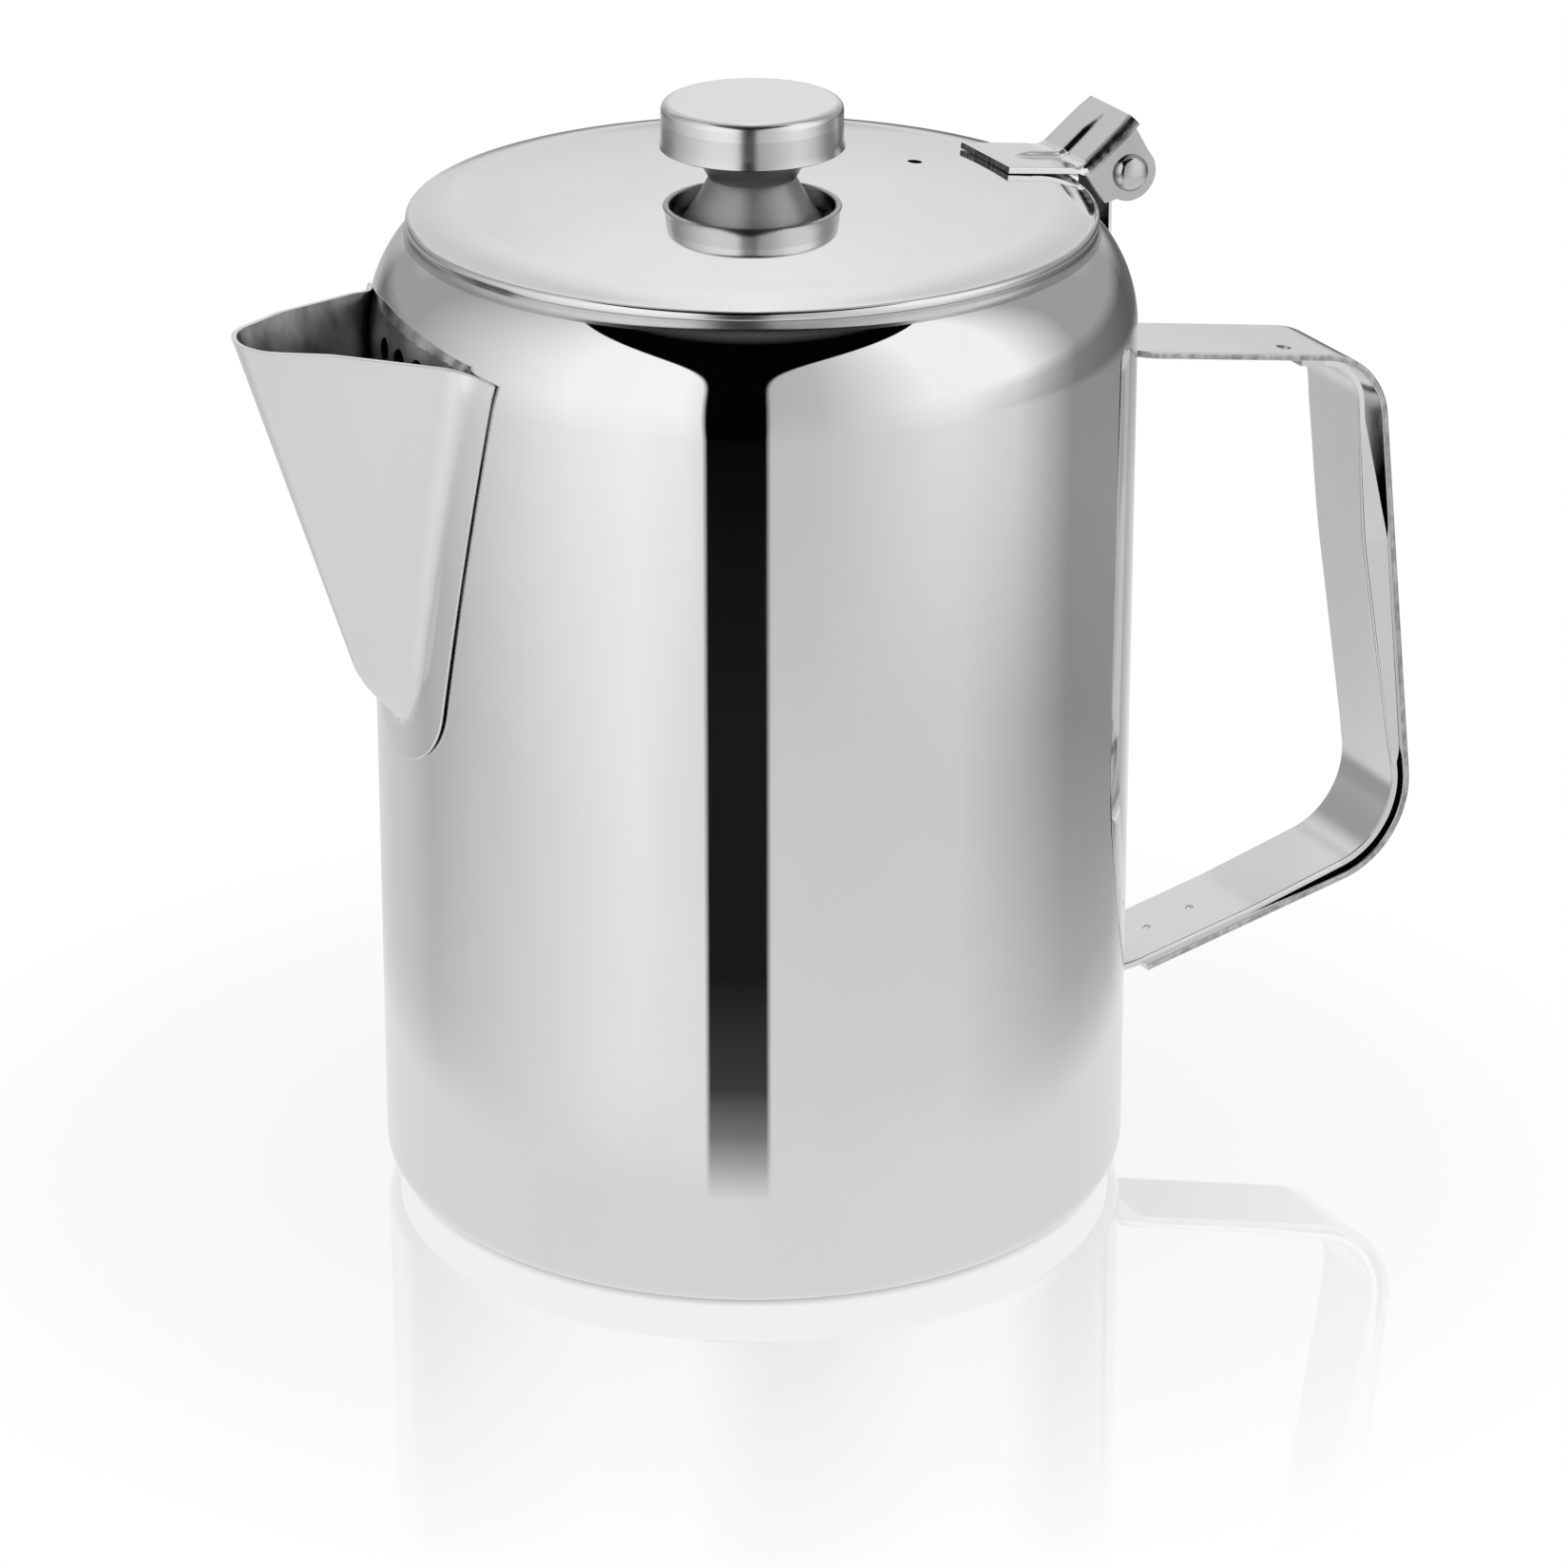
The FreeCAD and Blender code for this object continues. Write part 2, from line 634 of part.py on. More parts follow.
def main():
    os.makedirs("parts", exist_ok=True)
    save("body_shell", make_body())
    save("spout_shell", make_spout())
    save("handle_outer_strap", make_outer_strap())
    save("handle_inner_strap", make_inner_strap())
    save("hinge_bracket", make_bracket())
    save("hinge_rivet", make_rivet())
    save("hinge_leaf", make_leaf())
    save("lid_shell", make_lid())
    save("knob_cap", make_knob_cap())
    save("knob_stem", make_knob_stem())


main()
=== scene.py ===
import json
import math

import bmesh
import bpy
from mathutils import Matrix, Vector


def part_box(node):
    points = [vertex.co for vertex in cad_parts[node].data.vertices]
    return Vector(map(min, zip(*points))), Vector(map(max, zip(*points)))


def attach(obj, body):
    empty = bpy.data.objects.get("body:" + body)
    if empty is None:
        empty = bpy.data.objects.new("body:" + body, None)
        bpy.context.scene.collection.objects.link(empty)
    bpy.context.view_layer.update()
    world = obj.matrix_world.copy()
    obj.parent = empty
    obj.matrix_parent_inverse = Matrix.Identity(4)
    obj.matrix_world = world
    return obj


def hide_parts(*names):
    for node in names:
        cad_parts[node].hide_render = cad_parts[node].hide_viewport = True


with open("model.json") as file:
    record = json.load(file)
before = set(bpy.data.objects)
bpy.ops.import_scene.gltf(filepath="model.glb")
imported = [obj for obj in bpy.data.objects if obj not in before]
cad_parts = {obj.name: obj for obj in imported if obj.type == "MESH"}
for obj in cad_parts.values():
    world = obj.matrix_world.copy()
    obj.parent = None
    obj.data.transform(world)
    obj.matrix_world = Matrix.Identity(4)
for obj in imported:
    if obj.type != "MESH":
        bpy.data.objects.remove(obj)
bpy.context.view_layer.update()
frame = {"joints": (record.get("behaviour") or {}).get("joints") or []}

# Coffee pot. Outlines are worked out in millimetres and become metres in new_piece().
# The spout points along -X, the handle and the lid hinge are on +X, +Z is up.
MM = 0.001


def box_mm(node):
    """The lowest and highest corners of a CAD node's box."""
    low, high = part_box(node)
    return low / MM, high / MM


body_high = box_mm("body_shell")[1]
lid_low, lid_high = box_mm("lid_shell")
spout_low, spout_high = box_mm("spout_shell")
cap_low, cap_high = box_mm("knob_cap")
outer_low, outer_high = box_mm("handle_outer_strap")
inner_high = box_mm("handle_inner_strap")[1]
leaf_high = box_mm("hinge_leaf")[1]
bracket_low, bracket_high = box_mm("hinge_bracket")
rivet_high = box_mm("hinge_rivet")[1]
hinge_at = [value / MM for value in frame["joints"][0]["pos_m"]]
pivot = (hinge_at[0], hinge_at[2])

# ---- body
body_radius = body_high.x
body_wall = 0.8
base_corner_radius = 7.0
foot_ring_width = 8.0
base_recess = 1.2
shoulder_start = 149.0
shoulder_radius = 21.7
neck_radius = 55.6
neck_fillet = 1.5
neck_top = body_high.z
neck_satin_from = neck_top - 1.9

# ---- lid
lid_radius = lid_high.x
lid_bottom = neck_top + 0.1
lid_lip = 0.6
lid_edge_round = 1.0
lid_lip_round = 0.3
lid_sag = 0.25
lid_crown = 173.1
dome_sphere_radius = 303.0
dome_radius = 47.0
lid_sheet = 0.8
skirt_radius = 53.8
skirt_bottom = lid_low.z
skirt_round = 0.4
vent_distance = 29.5
vent_radius = 1.2

# ---- knob
knob_radius = cap_high.x
knob_top = cap_high.z
knob_bottom = cap_low.z
knob_round = 1.5
knob_sheet = 1.0
knob_taper = 0.25
knob_band = 3.0
knob_seat = 8.0
stem_foot_radius = 7.1
stem_waist = (9.8, 178.0)
stem_shoulder = (12.8, 182.9)
stem_wall = 1.4

# ---- spout
spout_sheet = 0.8
spout_tip = -spout_low.x
spout_tip_height = spout_high.z
spout_knee = (79.0, 157.4)
spout_crease = (62.5, 155.6)
spout_corner = (57.7, 154.5)
spout_rim_tilt = 0.05
spout_nose_radius = 8.0
spout_heel_nose_radius = 3.5
spout_lean = 0.327
spout_heel_height = 101.0
spout_foot_height = 89.0
spout_half_angle = math.radians(28.0)
spout_fillet = 3.0
spout_seam_gap = 0.35
spout_seam_depth = 1.5
spout_edge_round = 0.12
spout_edge_sheet = 0.45
flange_top_half_width = 26.0
flange_end_radius = 13.3
flange_end_height = spout_low.z
strainer_hole_radius = 2.0
strainer_pitch = 6.5
strainer_rows = 8
strainer_top = 150.6

# ---- handle
strap_sheet = 1.2
strap_edge_round = 0.3
outer_half_width = outer_high.y
inner_half_width = inner_high.y
tab_half_width = 6.0
tab_length = 12.0
top_root = (body_radius, 137.2)
top_corner = (114.9, 129.1)
bottom_corner = (124.6, 37.2)
outer_end = (71.4, outer_low.z)
top_bend = 14.0
bottom_bend = 17.0
tab_bend = 3.0
waist_start = 3.0
waist_length = 6.0
grip_corner = (110.0, 127.35)
grip_knee = (112.6, 96.0)
grip_heel = (121.9, 40.4)
liner_start = 99.0
liner_split = 92.0
flange_top = 123.0
flange_meets_outer = 95.0
flange_bottom = 48.5
flange_slant = 0.25
flange_soft_bend = 0.9
flange_soft_depth = 2.5
strap_hole = (97.5, -5.0)
strap_hole_radius = 1.3
weld_pits = (76.0, 84.5)
weld_pit_radius = 1.3
weld_pit_lift = 1.05

# ---- hinge
hinge_sheet = 1.0
leaf_half_width = leaf_high.y
leaf_front = (42.5, 171.2)
leaf_fold = (56.5, 169.3)
lever_end = (65.8, 176.7)
lever_half_width = 8.0
leaf_bend = 4.5
ear_radius = 4.8
ear_inset = 0.6
ear_fold_round = 1.8
ear_roll_length = 2.2
rib_height = 0.75
rib_half_width = 1.35
rib_reach = 10.8
pin_radius = 1.6
rivet_head_radius = 3.1
rivet_edge = 0.15
bracket_sheet = 0.6
bracket_edge_round = 0.12
knuckle_radius = pin_radius + bracket_sheet
bracket_half_width = bracket_high.y
bracket_foot = bracket_low.z
bracket_weld_top = 157.4
weld_dimple = (3.5, 155.4)

# ---- camera: its heading and tilt in degrees, its place in metres, its lens in millimetres
camera_heading = -26.298
camera_tilt = 68.311
camera_place = (-0.4295, -0.8806, 0.4573)
camera_lens = 144.75
camera_sensor = 36.0

# ---- studio: brightness of its brightest panel, and the dark gap between its panels in degrees
studio_peak = 1.25
gap_centre = -4.5
gap_half_width = 9.3
gap_softness = 0.8
gap_flare = 77.0
flare_start = 15.0
flare_end = 57.0

# ---- table, in metres
floor_radius = 6.0
glow_radius = 0.2
glow_drop = 0.00005
glow_level = 0.82


# ---- outline tools
def arc(centre, radius, start, end, steps):
    """Points on an arc, from one angle to another, in degrees."""
    points = []
    for step in range(steps + 1):
        angle = math.radians(start + (end - start) * step / steps)
        points.append((centre[0] + radius * math.cos(angle), centre[1] + radius * math.sin(angle)))
    return points


def between(start, end, steps):
    """Points strictly between two points."""
    shares = [step / steps for step in range(1, steps)]
    return [(start[0] + (end[0] - start[0]) * t, start[1] + (end[1] - start[1]) * t) for t in shares]


def clamp(value):
    return max(0.0, min(1.0, value))


def heading(start, end):
    length = math.dist(start, end)
    return ((end[0] - start[0]) / length, (end[1] - start[1]) / length)


def along(start, direction, distance):
    return (start[0] + direction[0] * distance, start[1] + direction[1] * distance)


def rounded(corners, radii, steps=8):
    """Points of a path through the corners, with one radius for each inner corner."""
    points = [corners[0]]
    for index, radius in enumerate(radii):
        corner = corners[index + 1]
        back = heading(corner, corners[index])
        ahead = heading(corner, corners[index + 2])
        half = math.acos(max(-1.0, min(1.0, back[0] * ahead[0] + back[1] * ahead[1]))) / 2
        reach = radius / math.tan(half)
        start, end = along(corner, back, reach), along(corner, ahead, reach)
        inward = heading((0, 0), (back[0] + ahead[0], back[1] + ahead[1]))
        centre = along(corner, inward, radius / math.sin(half))
        first = math.atan2(start[1] - centre[1], start[0] - centre[0])
        last = math.atan2(end[1] - centre[1], end[0] - centre[0])
        turn = (last - first + math.pi) % (2 * math.pi) - math.pi
        points += arc(centre, radius, math.degrees(first), math.degrees(first + turn), steps)
    points.append(corners[-1])
    return points


def stations(points, step):
    """Evenly spaced (x, z, right_x, right_z, travelled) along a path, right of its travel."""
    lengths = [0.0]
    for a, b in zip(points, points[1:]):
        lengths.append(lengths[-1] + math.dist(a, b))
    count = max(2, round(lengths[-1] / step))
    result = []
    piece = 0
    for index in range(count + 1):
        travelled = lengths[-1] * index / count
        while piece < len(points) - 2 and lengths[piece + 1] < travelled:
            piece += 1
        share = (travelled - lengths[piece]) / (lengths[piece + 1] - lengths[piece])
        a, b = points[piece], points[piece + 1]
        result.append((a[0] + (b[0] - a[0]) * share, a[1] + (b[1] - a[1]) * share, travelled))
    framed = []
    for index, (x, z, travelled) in enumerate(result):
        before, after = result[max(0, index - 1)], result[min(count, index + 1)]
        go = heading(before[:2], after[:2])
        framed.append((x, z, go[1], -go[0], travelled))
    return framed


def mirrored(points):
    """The points in reverse order, on the other side of the middle plane."""
    return [(-y, depth) for y, depth in reversed(points)]


def smooth_step(low, high, value):
    share = clamp((value - low) / (high - low))
    return share * share * (3 - 2 * share)


# ---- mesh tools
def new_piece(name, vertices, faces, sharp=32.0, slots=None):
    """A smooth-shaded mesh object from millimetre vertices; edges over the angle stay sharp."""
    mesh = bpy.data.meshes.new(name)
    mesh.from_pydata([Vector(v) * MM for v in vertices], [], faces)
    if slots:
        mesh.polygons.foreach_set("material_index", slots)
    piece = bpy.data.objects.new(name, mesh)
    bpy.context.scene.collection.objects.link(piece)
    tidy_mesh(piece, sharp)
    return piece


def tidy_mesh(piece, sharp=32.0):
    work = bmesh.new()
    work.from_mesh(piece.data)
    bmesh.ops.remove_doubles(work, verts=work.verts, dist=0.002 * MM)
    bmesh.ops.dissolve_degenerate(work, edges=work.edges, dist=0.001 * MM)
    bmesh.ops.recalc_face_normals(work, faces=work.faces)
    work.to_mesh(piece.data)
    work.free()
    piece.data.shade_smooth()
    piece.data.set_sharp_from_angle(angle=math.radians(sharp))


def lathe(name, profile, turns=256, sharp=32.0):
    """Spins a closed (radius, height) outline about the Z axis."""
    vertices = []
    rings = []
    for radius, height in profile:
        if radius < 1e-6:
            rings.append([len(vertices)] * turns)
            vertices.append((0, 0, height))
            continue
        rings.append(list(range(len(vertices), len(vertices) + turns)))
        for turn in range(turns):
            angle = 2 * math.pi * turn / turns
            vertices.append((radius * math.cos(angle), radius * math.sin(angle), height))
    faces = []
    for a, b in zip(rings, rings[1:] + rings[:1]):
        for turn in range(turns):
            after = (turn + 1) % turns
            corners = list(dict.fromkeys((a[turn], a[after], b[after], b[turn])))
            if len(corners) > 2:
                faces.append(corners)
    return new_piece(name, vertices, faces, sharp)


def sweep(name, path, section, sharp=32.0):
    """Skins closed sections set along a path; section(station) gives (across, depth) points."""
    vertices = []
    rows = []
    for station in path:
        x, z, right_x, right_z = station[:4]
        loop = section(station)
        rows.append(list(range(len(vertices), len(vertices) + len(loop))))
        vertices += [(x + right_x * depth, y, z + right_z * depth) for y, depth in loop]
    faces = [list(reversed(rows[0])), rows[-1]]
    for a, b in zip(rows, rows[1:]):
        for index in range(len(a)):
            after = (index + 1) % len(a)
            faces.append([a[index], a[after], b[after], b[index]])
    return new_piece(name, vertices, faces, sharp)


def cutting_mesh(work, move):
    """A throwaway mesh, with each corner moved by a function."""
    mesh = bpy.data.meshes.new("cutter")
    for vertex in work.verts:
        vertex.co = move(vertex.co)
    work.to_mesh(mesh)
    work.free()
    return mesh


def ball(radius, centre):
    work = bmesh.new()
    bmesh.ops.create_uvsphere(work, u_segments=32, v_segments=20, radius=radius * MM)
    return cutting_mesh(work, lambda corner: corner + Vector(centre) * MM)


def rod(radius, start, end):
    axis = Vector(end) - Vector(start)
    work = bmesh.new()
    bmesh.ops.create_cone(work, cap_ends=True, segments=40, radius1=radius * MM, radius2=radius * MM,
                          depth=axis.length * MM)
    turn = Vector((0, 0, 1)).rotation_difference(axis).to_matrix()
    middle = (Vector(start) + Vector(end)) / 2 * MM
    return cutting_mesh(work, lambda corner: turn @ corner + middle)


def cut(piece, tools, sharp=32.0):
    """Cuts all the tools out of the piece at once and keeps the result as its mesh."""
    joined = bmesh.new()
    for tool in tools:
        joined.from_mesh(tool)
    mesh = bpy.data.meshes.new("cutters")
    joined.to_mesh(mesh)
    joined.free()
    cutter = bpy.data.objects.new("cutters", mesh)
    bpy.context.scene.collection.objects.link(cutter)
    change = piece.modifiers.new("cut", "BOOLEAN")
    change.operation = "DIFFERENCE"
    change.solver = "EXACT"
    change.object = cutter
    bpy.context.view_layer.update()
    result = bpy.data.meshes.new_from_object(piece.evaluated_get(bpy.context.evaluated_depsgraph_get()))
    piece.modifiers.clear()
    piece.data = result
    bpy.data.objects.remove(cutter)
    tidy_mesh(piece, sharp)
    return piece


def join(name, pieces):
    """One object made of several."""
    whole = bmesh.new()
    for piece in pieces:
        whole.from_mesh(piece.data)
    mesh = bpy.data.meshes.new(name)
    whole.to_mesh(mesh)
    whole.free()
    for piece in pieces:
        bpy.data.objects.remove(piece)
    result = bpy.data.objects.new(name, mesh)
    bpy.context.scene.collection.objects.link(result)
    mesh.shade_smooth()
    mesh.set_sharp_from_angle(angle=math.radians(32.0))
    return result


# ---- body
def body_side(inset):
    """The pot's side from the foot to the neck top, moved inward by inset."""
    wall = body_radius - inset
    corner_centre = (body_radius - base_corner_radius, base_corner_radius)
    shoulder_centre = (body_radius - shoulder_radius, shoulder_start)
    fillet_x = neck_radius + neck_fillet
    rise = math.sqrt((shoulder_radius + neck_fillet) ** 2 - (fillet_x - shoulder_centre[0]) ** 2)
    fillet_centre = (fillet_x, shoulder_start + rise)
    meet = math.degrees(math.atan2(rise, fillet_x - shoulder_centre[0]))
    points = arc(corner_centre, base_corner_radius - inset, -90, 0, 20)
    points += between((wall, base_corner_radius), (wall, shoulder_start), 40)
    points += arc(shoulder_centre, shoulder_radius - inset, 0, meet, 72)
    points += arc(fillet_centre, neck_fillet + inset, 180 + meet, 180, 10)[1:]
    points += [(neck_radius - inset, neck_top - 0.5), (neck_radius - inset, neck_top)]
    return points


def body_base(inset):
    """The base from the axis to the foot ring, lifted by inset."""
    ring_inner = body_radius - base_corner_radius - foot_ring_width
    corners = [(ring_inner - 6.0, inset + base_recess), (ring_inner - base_recess, inset + base_recess),
               (ring_inner, inset), (ring_inner + 4.0, inset)]
    middle = [(reach, inset + base_recess) for reach in (0.0, 12.0, 24.0, 34.0)]
    return middle + rounded(corners, [0.8, 0.8], 5)


def strainer_cutters():
    """Staggered rows of round holes through the wall behind the spout."""
    tools = []
    row_step = strainer_pitch * math.sqrt(0.75)
    for row in range(strainer_rows):
        height = strainer_top - row * row_step
        count = 2 if row % 2 else 3
        for column in range(count):
            across = (column - (count - 1) / 2) * strainer_pitch
            tools.append(rod(strainer_hole_radius, (-body_radius - 2, across, height),
                             (-body_radius + 10, across, height)))
    return tools


def make_body():
    outside = body_base(0) + body_side(0)
    inside = body_base(body_wall) + body_side(body_wall)
    body = lathe("body", outside + inside[::-1], 288)
    return cut(body, strainer_cutters())


# ---- spout
def nose_reach(height):
    """How far in front of the pot axis the spout's front edge is at a height."""
    straight = spout_tip - spout_lean * (spout_tip_height - height)
    foot_straight = spout_tip - spout_lean * (spout_tip_height - spout_foot_height)
    tuck = foot_straight - (body_radius - 1.0)
    below = max(0.0, spout_heel_height - height) / (spout_heel_height - spout_foot_height)
    return straight - tuck * below ** 2


def nose_radius(height):
    share = (height - spout_heel_height) / (spout_tip_height - spout_heel_height)
    grown = spout_heel_nose_radius + (spout_nose_radius - spout_heel_nose_radius) * share
    return max(spout_heel_nose_radius * 0.7, grown)


def wedge_reach(angle, height, inset=0.0):
    """Distance from the pot axis to the spout's nose or side, in a direction off the -X axis."""
    radius = nose_radius(height)
    centre = nose_reach(height) - radius
    radius -= inset
    side = abs(angle)
    tangent = (centre + radius * math.sin(spout_half_angle), radius * math.cos(spout_half_angle))
    if side < math.atan2(tangent[1], tangent[0]):
        return centre * math.cos(side) + math.sqrt(max(0.0, radius ** 2 - (centre * math.sin(side)) ** 2))
    slope = math.tan(spout_half_angle)
    return (tangent[1] + slope * tangent[0]) / (math.sin(side) + slope * math.cos(side))


def body_reach(height):
    """Outer reach of the pot's wall and shoulder at a height."""
    rise = max(0.0, height - shoulder_start)
    return body_radius - shoulder_radius + math.sqrt(shoulder_radius ** 2 - rise ** 2)


def soft_reach(angle, height, flange, inset):
    """The flange's reach and the wedge's reach, run into each other with a soft fillet."""
    wedge = wedge_reach(angle, height, inset)
    share = clamp(0.5 + 0.5 * (wedge - flange) / spout_fillet)
    return flange + (wedge - flange) * share + spout_fillet * share * (1 - share)


def spout_reach(angle, height):
    return soft_reach(angle, height, body_reach(height) + spout_sheet, 0.0)


def spout_inner_reach(angle, height):
    """The inner face; it lifts off the pot along the flange's edge, which leaves a fine seam."""
    from_edge = flange_half_width(height) - body_radius * math.sin(angle)
    gap = spout_seam_gap * (1 - smooth_step(0.0, spout_seam_depth, from_edge)) + 0.02
    inner = soft_reach(angle, height, body_reach(height) + gap, spout_sheet)
    return min(inner, spout_reach(angle, height) - spout_edge_sheet)


def rim_height(reach, across):
    """Height of the pouring rim: level at the tip, falling to the flange, a little tilted."""
    marks = [spout_corner, spout_crease, spout_knee, (spout_tip, spout_tip_height)]
    index = sum(1 for mark in marks[1:-1] if reach > mark[0])
    low, high = marks[index], marks[index + 1]
    slope = (high[1] - low[1]) / (high[0] - low[0])
    return low[1] + slope * (reach - low[0]) + spout_rim_tilt * across


def flange_half_width(height):
    """Half width of the tongue-shaped flange."""
    centre = flange_end_height + flange_end_radius
    lean = math.atan2(flange_top_half_width - flange_end_radius, spout_corner[1] - centre)
    tangent_height = centre - flange_end_radius * math.sin(lean)
    if height < tangent_height:
        return math.sqrt(max(0.0, flange_end_radius ** 2 - (centre - height) ** 2))
    return flange_end_radius * math.cos(lean) + (height - tangent_height) * math.tan(lean)


def crease_angle(height):
    """Direction in which the spout's side meets the pot."""
    low, high = 0.0, math.radians(40.0)
    for _ in range(30):
        middle = (low + high) / 2
        if wedge_reach(middle, height) > body_radius + spout_sheet:
            low = middle
        else:
            high = middle
    return low


def column_angles(height):
    """Directions of the grid columns on one side: nose, side wall, fillet, flange."""
    edge = math.asin(flange_half_width(height) / (body_radius + spout_sheet))
    crease = min(crease_angle(height), edge * 0.6)
    radius = nose_radius(height)
    nose = min(math.atan2(radius, nose_reach(height) - radius), crease * 0.5)
    blend = min((edge - crease) * 0.7, crease * 0.3, math.radians(3.6))
    marks = [(0.0, nose, 10), (nose, crease - blend, 10), (crease - blend, crease + blend, 16),
             (crease + blend, edge, 10)]
    angles = []
    for start, end, steps in marks:
        angles += [start + (end - start) * step / steps for step in range(steps)]
    return angles + [edge]


def spout_points(side, column, share):
    """Matching outer and inner points; share runs from the flange's lowest point to the rim."""
    top = spout_corner[1]
    for _ in range(6):
        angle = column_angles(top)[column]
        reach = spout_reach(angle, top)
        top = rim_height(reach * math.cos(angle), side * reach * math.sin(angle))
    height = flange_end_height + (top - flange_end_height) * share
    angle = column_angles(height)[column]
    heading_out = Vector((-math.cos(angle), side * math.sin(angle), 0))
    up = Vector((0, 0, height))
    return heading_out * spout_reach(angle, height) + up, heading_out * spout_inner_reach(angle, height) + up


def make_spout():
    """An outer and an inner skin over one grid, closed by a rounded edge all round."""
    shares = [0.36 * 0.5 * (1 - math.cos(math.radians(90 * step / 24))) for step in range(1, 25)]
    low_end = shares[-1]
    shares += [low_end + (1 - low_end) * step / 44 for step in range(1, 45)]
    columns = len(column_angles(spout_corner[1]))
    order = [(-1, column) for column in range(columns - 1, 0, -1)] + [(1, column) for column in range(columns)]
    width = len(order)
    pairs = [spout_points(1, 0, 0.0)]
    for share in shares:
        pairs += [spout_points(side, column, share) for side, column in order]
    count = len(pairs)
    vertices = [outer for outer, inner in pairs] + [inner for outer, inner in pairs]
    faces = [[0, 1 + column, 2 + column] for column in range(width - 1)]
    for row in range(len(shares) - 1):
        for column in range(width - 1):
            low = 1 + row * width + column
            faces.append([low, low + width, low + width + 1, low + 1])
    kinds = ["outside"] * len(faces)
    faces += [[index + count for index in reversed(face)] for face in faces]
    kinds += ["inside"] * len(kinds)
    last = 1 + (len(shares) - 1) * width
    border = [0] + [1 + row * width for row in range(len(shares))]
    border += [last + column for column in range(1, width)]
    border += [1 + row * width + width - 1 for row in range(len(shares) - 2, -1, -1)]
    centre = Vector((-body_radius, 0, (flange_end_height + spout_tip_height) / 2))
    ring = len(vertices)
    for index, here in enumerate(border):
        outer, inner = pairs[here]
        before, after = pairs[border[index - 1]][0], pairs[border[(index + 1) % len(border)]][0]
        outward = (after - before).cross(outer - inner).normalized()
        if outward.dot(outer - centre) < 0:
            outward = -outward
        vertices.append(outer.lerp(inner, 0.25) + outward * spout_edge_round)
        vertices.append(outer.lerp(inner, 0.75) + outward * spout_edge_round)
    for index, here in enumerate(border):
        after_index = (index + 1) % len(border)
        after = border[after_index]
        a, b = ring + 2 * index, ring + 2 * after_index
        faces += [[here, after, b, a], [a, b, b + 1, a + 1], [a + 1, b + 1, after + count, here + count]]
        kinds += ["edge", "edge", "edge"]
    slots = {"outside": 0, "inside": 1, "edge": 2}
    return new_piece("spout", vertices, faces, 40.0, [slots[kind] for kind in kinds])


# ---- handle
def plan_half_width(x, full):
    """The straps narrow with round shoulders to the width of their weld tabs."""
    share = clamp((x - body_radius - waist_start) / waist_length)
    return tab_half_width + (full - tab_half_width) * math.sqrt(1 - (1 - share) ** 2)


def make_outer_strap():
    tab_end = (top_root[0], top_root[1] - tab_length)
    corners = [tab_end, top_root, top_corner, bottom_corner, outer_end]
    path = stations(rounded(corners, [tab_bend, top_bend, bottom_bend], 40), 0.5)

    def section(station):
        half = plan_half_width(station[0], outer_half_width)
        r, t = strap_edge_round, strap_sheet
        side = arc((half - r, r), r, -90, 0, 3) + arc((half - r, t - r), r, 0, 90, 3)
        crowd = [(half * share, 0) for share in (0.0, 0.35, 0.7)]
        right = crowd + side
        below = [(half * share, t) for share in (0.7, 0.35)]
        return right + below + [(0, t)] + mirrored(right[1:] + below)

    strap = sweep("outer_strap", path, section)
    hole_top = (strap_hole[0], strap_hole[1], top_root[1] + 5)
    hole_low = (strap_hole[0], strap_hole[1], top_root[1] - 20)
    return cut(strap, [rod(strap_hole_radius, hole_low, hole_top)])


def line_height(start, end, reach, lift):
    """Height at a reach of the line through two points, lifted square to itself."""
    slope = (end[1] - start[1]) / (end[0] - start[0])
    return start[1] + slope * (reach - start[0]) + lift * math.hypot(1, slope)


def lower_run_height(reach, lift):
    return line_height(outer_end, bottom_corner, reach, lift)


def outer_inner_face(height):
    """Reach of the outer strap's inner face on the grip."""
    return line_height(top_corner[::-1], bottom_corner[::-1], height, -strap_sheet)


def flange_depth(x, height):
    """How deep the liner's side flange stands at a height on the grip."""
    if height > flange_top or height < flange_bottom:
        return 0.0
    gap = outer_inner_face(height) - x - 0.05
    meet_gap = gap * smooth_step(flange_bottom, flange_bottom + 8.0, height)
    grown = (flange_top - height) / (flange_top - flange_meets_outer)
    return meet_gap * min(1.0, grown ** 0.75)


